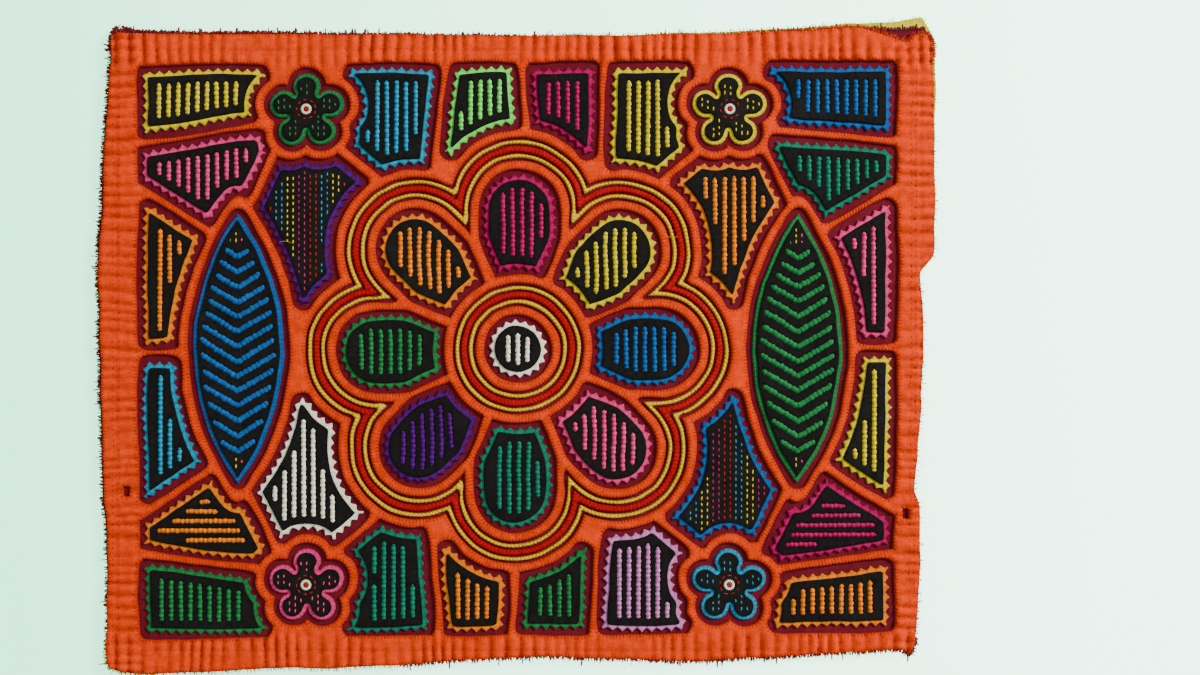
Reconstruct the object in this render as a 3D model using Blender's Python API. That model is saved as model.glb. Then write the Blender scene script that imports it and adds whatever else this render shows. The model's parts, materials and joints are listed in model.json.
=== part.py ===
"""A hand-sewn mola panel of layered cotton: three cloths, echo strips in channels, and inlaid windows.

The panel lies flat, face up. Scene units are metres with +Z up, and the sizes below are in millimetres.
"""

import math
from collections import namedtuple

import bmesh
import bpy
import numpy as np
from mathutils import Vector
from mathutils.geometry import delaunay_2d_cdt

MM = 0.001

# Thickness of each cloth, and the gap between cloths that lie on each other
CLOTH_T = 1.0
TOP_CLOTH_T = 1.6
LAYER_GAP = 0.3

BACKING_Z = 0.0
MIDDLE_Z = BACKING_Z + CLOTH_T + LAYER_GAP
INLAY_Z = MIDDLE_Z + CLOTH_T + LAYER_GAP
PATCH_Z = INLAY_Z + CLOTH_T + LAYER_GAP

# Sewn widths, from the orange rib between two windows to the black patch inside one
RIB = 4.5
WINDOW_MARGIN = 3.0
INSERT_RIM = 2.4
LEAF_RIM = 1.9
SLIT_MARGIN = 2.4
SLIT_W = 2.1
SLIT_PITCH = 4.9
SLIT_TIP = 1.1
SLIT_MIN_LENGTH = 4.0

# Echo channel, from its inner edge outwards: dark gap, yellow, dark gap, red, dark gap, yellow, dark gap
CHANNEL_GAP = 1.4
YELLOW_W = 1.8
STRIP_GAP = 1.0
RED_W = 3.1
CHANNEL_W = 2 * CHANNEL_GAP + 2 * YELLOW_W + 2 * STRIP_GAP + RED_W

# Patterned field inside the plain orange border
FIELD_LEFT = -194.0
FIELD_RIGHT = 193.0
FIELD_TOP = 144.0
FIELD_BOTTOM = -148.0
FIELD_SLANT = 0.006

# Flower medallion: a core with round petals, and a ring channel round its heart
MIDDLE_X = 0.0
MIDDLE_Y = -2.0
PETALS = 8
PETAL_REACH = 72.0
PETAL_R = 21.0
PETAL_TURN = 0.02
PETAL_TURN_STEP = 5.0
PETAL_REACH_STEP = 2.3
CORE_R = 60.0
RING_IN = 22.0

# Leaves at both sides and small blossoms near the corners
LEAF_X = 143.0
LEAF_HALF_W = 26.0
LEAF_HALF_H = 74.0
CHEVRON_PITCH = 7.6
CHEVRON_RISE = 0.62
CHEVRON_END_ROOM = 24.0
CHEVRON_DROP = 4.0
CHEVRON_KEEL = 1.15
CHEVRON_FIRST = 0.5
CHEVRON_STEP = 0.25
BLOSSOM_X = 108.0
BLOSSOM_Y = 121.5
BLOSSOM_LOBES = 5
BLOSSOM_LOBE_R = 10.0
BLOSSOM_LOBE_AT = 12.5
BLOSSOM_CORE_R = 13.0

# Relief of the top cloth: puckers along the border and a slow waviness
PUCKER_PITCH = 7.0
PUCKER_RISE = 0.45
PUCKER_DIP = -0.18
PUCKER_INSET = 8.0
PUCKER_CLEAR = 2.0
WAVE_RISE = 0.2
WAVE_LENGTH = 62.0
WAVE_PHASE = 0.8
WAVE_STRETCH = 0.8

# Outline tracing
GRID_STEP = 1.0
FINE_STEP = 0.5
COARSE_STEP = 2.0
BOX_ROOM = 4.0
LOOP_ROOM = 3.0
TAIL_REACH = 1.3
TOLERANCE = 0.35
MERGE = 1e-5

EdgePoint = namedtuple("EdgePoint", "x y middle_out backing_out")
Window = namedtuple("Window", "name colour slits shape margin rim")

# Edge of the top cloth, clockwise from the top left, and how far the two lower cloths reach past it there
TOP_EDGE = [
    EdgePoint(-208.3, 157.6, 0.5, -1.5),
    EdgePoint(-205.7, 159.1, 3.0, -1.5),
    EdgePoint(-203.4, 159.1, 0.8, -1.5),
    EdgePoint(-201.0, 159.1, 2.8, -1.5),
    EdgePoint(-197.0, 159.1, 1.0, -1.5),
    EdgePoint(-132.6, 158.9, 0.5, -1.5),
    EdgePoint(-41.5, 158.7, -0.8, 0.3),
    EdgePoint(21.9, 158.6, -0.8, 0.6),
    EdgePoint(68.2, 159.1, -0.6, 1.0),
    EdgePoint(117.7, 160.2, -0.6, 1.6),
    EdgePoint(147.0, 161.5, -0.6, 2.2),
    EdgePoint(166.6, 162.4, -0.6, 2.6),
    EdgePoint(176.4, 161.9, 0.0, 3.2),
    EdgePoint(195.4, 156.6, 5.1, 10.0),
    EdgePoint(198.5, 155.5, 6.2, 11.8),
    EdgePoint(201.6, 158.4, 3.6, 9.3),
    EdgePoint(207.8, 159.4, 2.6, 9.0),
]
RIGHT_EDGE = [
    EdgePoint(211.0, 157.1, 0.6, 2.5),
    EdgePoint(212.4, 146.8, -0.6, 2.1),
    EdgePoint(213.3, 100.4, -0.6, 0.9),
    EdgePoint(213.5, 51.5, -0.6, 0.4),
    EdgePoint(212.8, 47.0, -0.6, -1.0),
    EdgePoint(206.3, 37.6, -0.6, -1.5),
    EdgePoint(207.8, 13.4, -0.6, -1.5),
    EdgePoint(206.3, -30.9, -0.6, -1.5),
    EdgePoint(204.5, -58.2, -0.6, -1.5),
    EdgePoint(203.2, -75.4, -0.6, -1.5),
    EdgePoint(204.9, -80.6, -0.6, -1.5),
    EdgePoint(206.3, -111.8, -0.6, -1.5),
    EdgePoint(202.7, -154.0, 0.4, -1.5),
]
BOTTOM_EDGE = [
    EdgePoint(200.4, -157.4, 0.6, -1.5),
    EdgePoint(195.8, -155.6, -0.6, -1.5),
    EdgePoint(160.9, -157.6, -0.6, -1.5),
    EdgePoint(101.7, -161.2, -0.6, -1.5),
    EdgePoint(66.2, -161.7, -0.6, -1.5),
    EdgePoint(25.5, -159.7, -0.6, -1.5),
    EdgePoint(-4.9, -160.2, -0.6, -1.5),
    EdgePoint(-61.0, -163.8, -0.6, -1.5),
    EdgePoint(-96.6, -165.8, -0.6, -1.5),
    EdgePoint(-113.6, -164.8, -0.6, -1.5),
    EdgePoint(-142.9, -166.3, -0.6, -1.5),
    EdgePoint(-191.3, -168.4, -0.6, -0.5),
    EdgePoint(-207.6, -165.3, -0.6, 0.4),
]
LEFT_EDGE = [
    EdgePoint(-209.3, -163.6, -0.6, 0.9),
    EdgePoint(-209.9, -122.6, 0.8, 0.6),
    EdgePoint(-210.4, -89.1, 1.2, -1.5),
    EdgePoint(-212.4, -63.9, 1.2, -1.5),
    EdgePoint(-212.9, -26.3, 1.3, -1.5),
    EdgePoint(-214.5, 37.1, 0.9, -1.5),
    EdgePoint(-212.4, 68.0, 1.4, -1.5),
    EdgePoint(-211.9, 88.6, 1.2, -1.5),
    EdgePoint(-209.1, 128.2, 0.9, -1.5),
]

# Places that share out the ground round the motifs, each the middle of one window
Ground = namedtuple("Ground", "x y colour")
GROUND_WINDOWS = [
    Ground(-166, 127, "lemon"),
    Ground(-160, 88, "pink"),
    Ground(-186, 46, "gold"),
    Ground(-112, 64, "violet"),
    Ground(-60, 128, "sky"),
    Ground(-18, 124, "lime"),
    Ground(24, 126, "magenta"),
    Ground(63, 125, "lemon"),
    Ground(113, 66, "gold"),
    Ground(164, 125, "blue"),
    Ground(161, 89, "teal"),
    Ground(185, 48, "pink"),
    Ground(-164, -130, "green"),
    Ground(-159, -92, "gold"),
    Ground(-185, -54, "sky"),
    Ground(-113, -69, "white"),
    Ground(-61, -130, "teal"),
    Ground(-23, -127, "gold"),
    Ground(19, -129, "green"),
    Ground(60, -131, "lilac"),
    Ground(111, -69, "blue"),
    Ground(163, -129, "gold"),
    Ground(158, -93, "magenta"),
    Ground(186, -50, "lemon"),
]
PETAL_COLOURS = ["blue", "lemon", "magenta", "gold", "green", "violet", "teal", "pink"]

COLOURS = {
    "orange": (0.60, 0.024, 0.001),
    "maroon": (0.135, 0.006, 0.019),
    "yellow": (0.60, 0.41, 0.003),
    "strip_yellow": (0.92, 0.46, 0.004),
    "red": (0.39, 0.005, 0.006),
    "black": (0.012, 0.012, 0.010),
    "lemon": (0.80, 0.60, 0.008),
    "gold": (0.77, 0.21, 0.004),
    "blue": (0.010, 0.083, 0.265),
    "sky": (0.006, 0.22, 0.32),
    "green": (0.013, 0.135, 0.034),
    "teal": (0.005, 0.18, 0.105),
    "lime": (0.13, 0.80, 0.10),
    "magenta": (0.39, 0.004, 0.088),
    "pink": (0.68, 0.045, 0.18),
    "lilac": (0.56, 0.20, 0.45),
    "violet": (0.068, 0.003, 0.148),
    "white": (0.86, 0.85, 0.66),
}
CLOTH_ROUGHNESS = 0.85


# Distances to plain shapes, below zero inside
def circle(x, y, cx, cy, radius):
    return np.hypot(x - cx, y - cy) - radius


def leaf(x, y, cx, cy):
    px = np.abs(x - cx)
    py = np.abs(y - cy)
    arc_at = (LEAF_HALF_H**2 - LEAF_HALF_W**2) / (2 * LEAF_HALF_W)
    past_tip = (py - LEAF_HALF_H) * arc_at > px * LEAF_HALF_H
    to_tip = np.hypot(px, py - LEAF_HALF_H)
    to_arc = np.hypot(px + arc_at, py) - arc_at - LEAF_HALF_W
    return np.where(past_tip, to_tip, to_arc)


def blossom(x, y, cx, cy):
    value = circle(x, y, cx, cy, BLOSSOM_CORE_R)
    for k in range(BLOSSOM_LOBES):
        angle = math.pi / 2 + math.tau * k / BLOSSOM_LOBES
        lobe_x = cx + BLOSSOM_LOBE_AT * math.cos(angle)
        lobe_y = cy + BLOSSOM_LOBE_AT * math.sin(angle)
        value = np.minimum(value, circle(x, y, lobe_x, lobe_y, BLOSSOM_LOBE_R))
    return value


def ring(x, y):
    return circle(x, y, MIDDLE_X, MIDDLE_Y, RING_IN)


def petal_angle(k):
    return math.tau * k / PETALS + PETAL_TURN * math.sin(PETAL_TURN_STEP * k)


def petal(x, y, k):
    """A round-ended bar that points from the flower's middle out along the petal."""
    reach = PETAL_REACH + math.sin(PETAL_REACH_STEP * k)
    along = (x - MIDDLE_X) * math.cos(petal_angle(k)) + (y - MIDDLE_Y) * math.sin(petal_angle(k))
    across = (y - MIDDLE_Y) * math.cos(petal_angle(k)) - (x - MIDDLE_X) * math.sin(petal_angle(k))
    past_ends = np.maximum(along - reach, 0.0) + np.minimum(along, 0.0)
    return np.hypot(past_ends, across) - PETAL_R


def flower(x, y):
    value = circle(x, y, MIDDLE_X, MIDDLE_Y, CORE_R)
    for k in range(PETALS):
        value = np.minimum(value, petal(x, y, k))
    return value


def field(x, y):
    left = FIELD_LEFT - FIELD_SLANT * y - x
    right = x - FIELD_RIGHT - FIELD_SLANT * y
    top = y - FIELD_TOP - FIELD_SLANT * x
    bottom = FIELD_BOTTOM + 2 * FIELD_SLANT * x - y
    return np.maximum(np.maximum(left, right), np.maximum(top, bottom))


def blossom_places():
    return [(sx * BLOSSOM_X, sy * BLOSSOM_Y + MIDDLE_Y) for sy in (1, -1) for sx in (-1, 1)]


# Windows, each with a function that gives the distance to its edge
def petal_shape(k):
    half = math.pi / PETALS
    axis = petal_angle(k)

    def shape(x, y):
        along = (x - MIDDLE_X) * math.cos(axis) + (y - MIDDLE_Y) * math.sin(axis)
        across = (y - MIDDLE_Y) * math.cos(axis) - (x - MIDDLE_X) * math.sin(axis)
        wedge = np.abs(across) * math.cos(half) - along * math.sin(half) + RIB / 2
        clear_of_ring = CHANNEL_W + RIB - ring(x, y)
        return np.maximum(np.maximum(wedge, clear_of_ring), petal(x, y, k))

    return shape


def ground_shape(own):
    def shape(x, y):
        value = np.maximum(field(x, y), CHANNEL_W + 2 * RIB - flower(x, y))
        for side in (-1, 1):
            value = np.maximum(value, RIB - leaf(x, y, side * LEAF_X, MIDDLE_Y))
        for place in blossom_places():
            value = np.maximum(value, RIB - blossom(x, y, *place))
        for other in GROUND_WINDOWS:
            if other is own:
                continue
            apart = math.hypot(other.x - own.x, other.y - own.y)
            own_d2 = (x - own.x) ** 2 + (y - own.y) ** 2
            other_d2 = (x - other.x) ** 2 + (y - other.y) ** 2
            value = np.maximum(value, (own_d2 - other_d2) / (2 * apart) + RIB / 2)
        return value

    return shape


def leaf_shape(side):
    return lambda x, y: leaf(x, y, side * LEAF_X, MIDDLE_Y)


def blossom_shape(place):
    return lambda x, y: blossom(x, y, *place)


def heart_shape(x, y):
    return ring(x, y) + RIB


def all_windows():
    windows = []
    for k, colour in enumerate(PETAL_COLOURS):
        name = f"petal_{k + 1}"
        windows.append(Window(name, colour, straight_slits, petal_shape(k), WINDOW_MARGIN, INSERT_RIM))
    for side, name, colour in ((-1, "leaf_left", "blue"), (1, "leaf_right", "green")):
        windows.append(Window(name, colour, chevron_slits, leaf_shape(side), WINDOW_MARGIN, LEAF_RIM))
    for k, place in enumerate(blossom_places()):
        colour = ("green", "lemon", "pink", "sky")[k]
        shape = blossom_shape(place)
        windows.append(Window(f"blossom_{k + 1}", colour, None, shape, WINDOW_MARGIN, LEAF_RIM))
    windows.append(Window("heart", "white", None, heart_shape, WINDOW_MARGIN, INSERT_RIM))
    for k, row in enumerate(GROUND_WINDOWS):
        name = f"ground_{k + 1}"
        windows.append(Window(name, row.colour, None, ground_shape(row), WINDOW_MARGIN, INSERT_RIM))
    return windows


# Tracing a shape's edge on a grid
def grid_over(box, step):
    xs = np.arange(box[0], box[1] + step, step)
    ys = np.arange(box[2], box[3] + step, step)
    return np.meshgrid(xs, ys, indexing="ij")


def level_loops(x, y, values, level):
    """Closed loops where the values cross the level, with the low side on the left."""
    low = values < level
    mixed = low[:-1, :-1].astype(int) + low[1:, :-1] + low[1:, 1:] + low[:-1, 1:]
    following = {}
    for i, j in zip(*np.nonzero((mixed > 0) & (mixed < 4))):
        corners = [(i, j), (i + 1, j), (i + 1, j + 1), (i, j + 1)]
        inside = [low[c] for c in corners]
        for k in range(4):
            if not inside[k] or inside[(k + 1) % 4]:
                continue
            end = (k + 1) % 4
            while inside[end] or not inside[(end + 1) % 4]:
                end = (end + 1) % 4
            start_key = frozenset((corners[k], corners[(k + 1) % 4]))
            end_key = frozenset((corners[end], corners[(end + 1) % 4]))
            following[start_key] = end_key
    loops = []
    while following:
        key, after = following.popitem()
        chain = [key]
        while after != chain[0]:
            chain.append(after)
            after = following.pop(after)
        loops.append([crossing(x, y, values, level, edge) for edge in chain])
    return loops


def crossing(x, y, values, level, edge):
    a, b = sorted(edge)
    t = (level - values[a]) / (values[b] - values[a])
    return (x[a] + t * (x[b] - x[a]), y[a] + t * (y[b] - y[a]))


def area(loop):
    p = np.array(loop)
    q = np.roll(p, -1, axis=0)
    return 0.5 * float(np.sum(p[:, 0] * q[:, 1] - q[:, 0] * p[:, 1]))


def simplified(loop, tolerance):
    """Only the points that a closed outline needs to stay within the tolerance."""
    p = np.array(loop)
    start = int(np.argmax(np.hypot(*(p - p.mean(axis=0)).T)))
    p = np.roll(p, -start, axis=0)
    p = np.vstack([p, p[:1]])
    far = int(np.argmax(np.hypot(*(p - p[0]).T)))
    keep = {0, far}
    stretches = [(0, far), (far, len(p) - 1)]
    while stretches:
        first, last = stretches.pop()
        if last - first < 2:
            continue
        chord = p[last] - p[first]
        span = p[first + 1 : last] - p[first]
        off = np.abs(chord[0] * span[:, 1] - chord[1] * span[:, 0]) / np.hypot(*chord)
        worst = int(np.argmax(off))
        if off[worst] > tolerance:
            middle = first + 1 + worst
            keep.add(middle)
            stretches += [(first, middle), (middle, last)]
    return [tuple(p[k]) for k in sorted(keep)]


def traced(shape, level, box, step=GRID_STEP):
    x, y = grid_over(box, step)
    loops = level_loops(x, y, shape(x, y), level)
    return simplified(max(loops, key=area), TOLERANCE)


def window_box(shape):
    """Box round the part of the field where the shape is a window."""
    across = (FIELD_LEFT - BOX_ROOM, FIELD_RIGHT + BOX_ROOM)
    upward = (FIELD_BOTTOM - BOX_ROOM, FIELD_TOP + BOX_ROOM)
    x, y = grid_over(across + upward, COARSE_STEP)
    inside = shape(x, y) < 0
    return (
        float(x[inside].min()) - BOX_ROOM,
        float(x[inside].max()) + BOX_ROOM,
        float(y[inside].min()) - BOX_ROOM,
        float(y[inside].max()) + BOX_ROOM,
    )


def without_slivers(window, x, y):
    """Window values with narrow tails cut off, where no insert would fit."""
    values = window.shape(x, y)
    core_level = -(window.margin + window.rim)
    core = np.array(max(level_loops(x, y, values, core_level), key=area))
    to_core = np.full(values.shape, np.inf)
    for point in core[::2]:
        to_core = np.minimum(to_core, np.hypot(x - point[0], y - point[1]))
    tail = to_core + TAIL_REACH * core_level
    return np.where(values < core_level, values, np.maximum(values, tail))


def window_loops(window):
    """The window's edge, the insert's edge and the patch's edge."""
    x, y = grid_over(window_box(window.shape), FINE_STEP)
    values = without_slivers(window, x, y)
    levels = (0.0, -window.margin, -window.margin - window.rim)
    return [simplified(max(level_loops(x, y, values, level), key=area), TOLERANCE) for level in levels]


# Slits cut through the black patches
def runs_inside(shape, x, y, inset):
    inside = shape(x, y) < -inset
    edges = np.flatnonzero(np.diff(np.concatenate([[False], inside, [False]]).astype(int)))
    return list(zip(edges[::2], edges[1::2] - 1))


def straight_slit(cx, start, end):
    half = SLIT_W / 2
    return [
        (cx - half, start + SLIT_TIP),
        (cx, start),
        (cx + half, start + SLIT_TIP),
        (cx + half, end - SLIT_TIP),
        (cx, end),
        (cx - half, end - SLIT_TIP),
    ]


def straight_slits(window, box):
    """Upright slits side by side, wherever the patch has room for them."""
    inset = window.margin + window.rim + SLIT_MARGIN + SLIT_W / 2
    along = np.arange(box[2], box[3], FINE_STEP)
    count = int((box[1] - box[0]) / SLIT_PITCH)
    slits = []
    for k in range(count + 1):
        cx = (box[0] + box[1]) / 2 + (k - count / 2) * SLIT_PITCH
        for first, last in runs_inside(window.shape, np.full(along.shape, cx), along, inset):
            if along[last] - along[first] > SLIT_MIN_LENGTH:
                slits.append(straight_slit(cx, along[first], along[last]))
    return slits


def chevron_slits(window, box):
    """V-shaped slits stacked up the leaf, each as wide as the leaf allows there."""
    cx = LEAF_X if box[0] > MIDDLE_X else -LEAF_X
    inset = window.margin + window.rim + SLIT_MARGIN
    count = int(2 * (LEAF_HALF_H - CHEVRON_END_ROOM) / CHEVRON_PITCH)
    slits = []
    for k in range(count + 1):
        foot = MIDDLE_Y + (k - count / 2) * CHEVRON_PITCH - CHEVRON_DROP
        reach = np.arange(CHEVRON_FIRST, LEAF_HALF_W, CHEVRON_STEP)
        inside = leaf(cx + reach, foot + CHEVRON_RISE * reach + SLIT_W, cx, MIDDLE_Y) < -inset
        if not inside[0]:
            continue
        arm = float(reach[inside].max())
        rise = CHEVRON_RISE * arm
        slits.append(
            [
                (cx, foot),
                (cx + arm, foot + rise),
                (cx + arm, foot + rise + SLIT_W),
                (cx, foot + SLIT_W * CHEVRON_KEEL),
                (cx - arm, foot + rise + SLIT_W),
                (cx - arm, foot + rise),
            ]
        )
    return slits


# Outlines of the three full-size cloths
def cloth_outline(column):
    sides = ((TOP_EDGE, 0, 1), (RIGHT_EDGE, 1, 0), (BOTTOM_EDGE, 0, -1), (LEFT_EDGE, -1, 0))
    outline = []
    for rows, out_x, out_y in sides:
        for row in rows:
            out = getattr(row, column) if column else 0.0
            outline.append((row.x + out * out_x, row.y + out * out_y))
    return outline[::-1]


def panel_centre():
    points = np.array(cloth_outline(None) + cloth_outline("middle_out") + cloth_outline("backing_out"))
    return (points.min(axis=0) + points.max(axis=0)) / 2


# Solids
def material_for(colour):
    name = f"{colour}_cotton"
    material = bpy.data.materials.get(name)
    if material is None:
        material = bpy.data.materials.new(name)
        material.use_nodes = True
        shader = material.node_tree.nodes["Principled BSDF"]
        shader.inputs["Base Color"].default_value = (*COLOURS[colour], 1.0)
        shader.inputs["Roughness"].default_value = CLOTH_ROUGHNESS
        shader.inputs["Metallic"].default_value = 0.0
        material.diffuse_color = (*COLOURS[colour], 1.0)
    return material


def flat_piece(name, loops, bottom, thickness, colour, group, centre):
    """A flat sheet with the first loop as its outline and the others as holes."""
    curve = bpy.data.curves.new(name, "CURVE")
    curve.dimensions = "2D"
    curve.fill_mode = "BOTH"
    curve.extrude = thickness * MM / 2
    for loop in loops:
        spline = curve.splines.new("POLY")
        spline.points.add(len(loop) - 1)
        for point, (x, y) in zip(spline.points, loop):
            point.co = ((x - centre[0]) * MM, (y - centre[1]) * MM, 0.0, 1.0)
        spline.use_cyclic_u = True
    piece = bpy.data.objects.new(name, curve)
    piece.location.z = (bottom + thickness / 2) * MM
    curve.materials.append(material_for(colour))
    group.objects.link(piece)
    return piece


def inside_loops(points, loops):
    """Whether each point lies inside an odd number of the loops."""
    inside = np.zeros(len(points), dtype=bool)
    px, py = points[:, 0], points[:, 1]
    for loop in loops:
        a = np.array(loop)
        b = np.roll(a, -1, axis=0)
        for (ax, ay), (bx, by) in zip(a, b):
            if ay == by:
                continue
            spans = (ay > py) != (by > py)
            inside ^= spans & (px < (bx - ax) * (py - ay) / (by - ay) + ax)
    return inside


def pucker_points(outline):
    """Points along the middle of the border, with their rise, high and low in turn."""
    p = np.array(outline)
    q = np.roll(p, -1, axis=0)
    corners = np.vstack([p, p[:1]])
    lengths = np.hypot(*(q - p).T)
    along = np.concatenate([[0.0], np.cumsum(lengths)])
    count = 2 * int(along[-1] / PUCKER_PITCH / 2)
    points = []
    for k in range(count):
        s = along[-1] * k / count
        x = np.interp(s, along, corners[:, 0])
        y = np.interp(s, along, corners[:, 1])
        side = field(x, y)
        slope_x = float(field(x + FINE_STEP, y) - side)
        slope_y = float(field(x, y + FINE_STEP) - side)
        steep = math.hypot(slope_x, slope_y)
        at = (x - PUCKER_INSET * slope_x / steep, y - PUCKER_INSET * slope_y / steep)
        if field(*at) > PUCKER_CLEAR:
            points.append((*at, PUCKER_RISE if k % 2 else PUCKER_DIP))
    return points


def waviness(x, y):
    turn = math.tau / WAVE_LENGTH
    return WAVE_RISE * math.sin(turn * x + WAVE_PHASE) * math.sin(turn * y * WAVE_STRETCH)


def relief_piece(name, loops, raised, bottom, thickness, colour, group, centre):
    """A sheet whose upper face rises and falls, over a flat underside."""
    flat = [Vector((x, y)) for loop in loops for x, y in loop] + [Vector((x, y)) for x, y, _ in raised]
    edges = []
    start = 0
    for loop in loops:
        edges += [(start + k, start + (k + 1) % len(loop)) for k in range(len(loop))]
        start += len(loop)
    points, _, faces, origins, _, _ = delaunay_2d_cdt(flat, edges, [], 1, MERGE)
    middles = np.array([sum((points[k] for k in face), Vector((0, 0))) / len(face) for face in faces])
    kept = [face for face, inside in zip(faces, inside_loops(middles, loops)) if inside]
    rises = {start + k: rise for k, (_, _, rise) in enumerate(raised)}
    mesh = bpy.data.meshes.new(name)
    bm = bmesh.new()
    upper = {}
    for k in sorted({k for face in kept for k in face}):
        x, y = points[k]
        rise = waviness(x, y) + max(rises.get(origin, 0.0) for origin in origins[k])
        place = ((x - centre[0]) * MM, (y - centre[1]) * MM, (bottom + thickness + rise) * MM)
        upper[k] = bm.verts.new(place)
    for face in kept:
        bm.faces.new([upper[k] for k in face])
    under = bmesh.ops.extrude_face_region(bm, geom=bm.faces[:])
    for element in under["geom"]:
        if isinstance(element, bmesh.types.BMVert):
            element.co.z = bottom * MM
    bmesh.ops.recalc_face_normals(bm, faces=bm.faces[:])
    bm.to_mesh(mesh)
    bm.free()
    mesh.materials.append(material_for(colour))
    piece = bpy.data.objects.new(name, mesh)
    group.objects.link(piece)
    return piece


def echo_strips(prefix, shape, inner_level, box, group, centre):
    """The three strips that lie side by side in a channel."""
    start = inner_level + CHANNEL_GAP
    rows = (
        (f"{prefix}_inner_strip", YELLOW_W, "strip_yellow"),
        (f"{prefix}_red_strip", RED_W, "red"),
        (f"{prefix}_outer_strip", YELLOW_W, "strip_yellow"),
    )
    for name, width, colour in rows:
        loops = [traced(shape, start + width, box), traced(shape, start, box)]
        flat_piece(name, loops, INLAY_Z, CLOTH_T, colour, group, centre)
        start += width + STRIP_GAP


def build_panel():
    for old in list(bpy.data.objects):
        bpy.data.objects.remove(old)
    group = bpy.data.collections.new("mola_panel")
    bpy.context.scene.collection.children.link(group)
    centre = panel_centre()

    flat_piece("backing_cloth", [cloth_outline("backing_out")], BACKING_Z, CLOTH_T, "yellow", group, centre)
    flat_piece("middle_cloth", [cloth_outline("middle_out")], MIDDLE_Z, CLOTH_T, "maroon", group, centre)

    petal_edges = []
    ground_edges = []
    heart_edges = []
    for window in all_windows():
        edge, insert, patch = window_loops(window)
        flat_piece(f"{window.name}_insert", [insert], INLAY_Z, CLOTH_T, window.colour, group, centre)
        if window.slits:
            loops = [patch] + window.slits(window, window_box(window.shape))
            flat_piece(f"{window.name}_patch", loops, PATCH_Z, CLOTH_T, "black", group, centre)
        if window.name.startswith("petal"):
            petal_edges.append(edge)
        elif window.name == "heart":
            heart_edges.append(edge)
        else:
            ground_edges.append(edge)

    reach = PETAL_REACH + PETAL_R + RIB + CHANNEL_W + LOOP_ROOM
    flower_box = (MIDDLE_X - reach, MIDDLE_X + reach, MIDDLE_Y - reach, MIDDLE_Y + reach)
    reach = RING_IN + CHANNEL_W + LOOP_ROOM
    ring_box = (MIDDLE_X - reach, MIDDLE_X + reach, MIDDLE_Y - reach, MIDDLE_Y + reach)

    outline = cloth_outline(None)
    channel_edge = traced(flower, RIB + CHANNEL_W, flower_box)
    loops = [outline, channel_edge] + ground_edges
    puckers = pucker_points(outline)
    relief_piece("top_cloth", loops, puckers, INLAY_Z, TOP_CLOTH_T, "orange", group, centre)
    loops = [traced(flower, RIB, flower_box), traced(ring, CHANNEL_W, ring_box)] + petal_edges
    relief_piece("flower_ground", loops, [], INLAY_Z, TOP_CLOTH_T, "orange", group, centre)
    loops = [traced(ring, 0.0, ring_box)] + heart_edges
    relief_piece("heart_ground", loops, [], INLAY_Z, TOP_CLOTH_T, "orange", group, centre)

    echo_strips("flower", flower, RIB, flower_box, group, centre)
    echo_strips("ring", ring, 0.0, ring_box, group, centre)


build_panel()
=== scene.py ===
"""Looks of a hand-sewn mola panel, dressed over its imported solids.

Every cloth of the panel is rebuilt as a fine sheet on the outline of its solid: cut and turned under, pulled
in by its stitches, a little puckered and worn. Sizes are in millimetres until a mesh is made, and the mesh is
in metres. Heights are measured from the table.
"""

import json
import logging
import math
import random
from dataclasses import dataclass, field
from enum import Enum
from functools import lru_cache
from typing import Callable, Optional

import bpy
import numpy as np
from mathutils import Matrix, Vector
from mathutils.geometry import delaunay_2d_cdt
from mathutils.kdtree import KDTree


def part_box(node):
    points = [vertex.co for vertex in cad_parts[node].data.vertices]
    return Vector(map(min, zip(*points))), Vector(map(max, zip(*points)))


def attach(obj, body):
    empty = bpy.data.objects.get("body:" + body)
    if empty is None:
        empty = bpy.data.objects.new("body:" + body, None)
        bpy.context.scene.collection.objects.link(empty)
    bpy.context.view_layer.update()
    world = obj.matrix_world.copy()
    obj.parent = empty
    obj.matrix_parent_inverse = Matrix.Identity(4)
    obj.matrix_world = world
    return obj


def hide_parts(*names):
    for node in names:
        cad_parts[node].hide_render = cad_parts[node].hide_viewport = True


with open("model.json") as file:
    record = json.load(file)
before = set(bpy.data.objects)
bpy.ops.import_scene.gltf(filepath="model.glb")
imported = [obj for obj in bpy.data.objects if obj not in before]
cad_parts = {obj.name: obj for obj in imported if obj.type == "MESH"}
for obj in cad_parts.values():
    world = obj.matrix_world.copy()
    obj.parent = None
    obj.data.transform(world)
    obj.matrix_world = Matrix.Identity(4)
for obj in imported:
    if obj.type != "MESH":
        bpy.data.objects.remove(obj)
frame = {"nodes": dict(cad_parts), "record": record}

LOG = logging.getLogger("mola")
MM = 0.001
BODY = "root"
LEVEL_WINDOWS = ("ground_14", "ground_23")
STITCHED_WINDOWS = ("ground_4", "ground_21")

Loop = np.ndarray
Relief = Callable[[np.ndarray, np.ndarray], np.ndarray]


# Plan geometry, in millimetres
def ripple(x: np.ndarray, y: np.ndarray, length: float, seed: int) -> np.ndarray:
    """A smooth uneven field between about -1 and 1.

    Args:
        x: Plan places along the panel.
        y: Plan places up the panel.
        length: Usual distance from one high place to the next.
        seed: Chooses one field among many.

    Returns:
        The field's value at each place.
    """
    rng = random.Random(seed)
    total = np.zeros_like(x, dtype=float)
    waves = 5
    for _ in range(waves):
        angle = rng.uniform(0.0, math.tau)
        pitch = length * rng.uniform(0.7, 1.5)
        phase = rng.uniform(0.0, math.tau)
        run = x * math.cos(angle) + y * math.sin(angle)
        total = total + np.sin(math.tau * run / pitch + phase)
    return total / math.sqrt(waves) / 1.4


def signed_area(loop: Loop) -> float:
    """Area inside a loop, above zero where it runs anticlockwise."""
    after = np.roll(loop, -1, axis=0)
    return 0.5 * float(np.sum(loop[:, 0] * after[:, 1] - after[:, 0] * loop[:, 1]))


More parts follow.
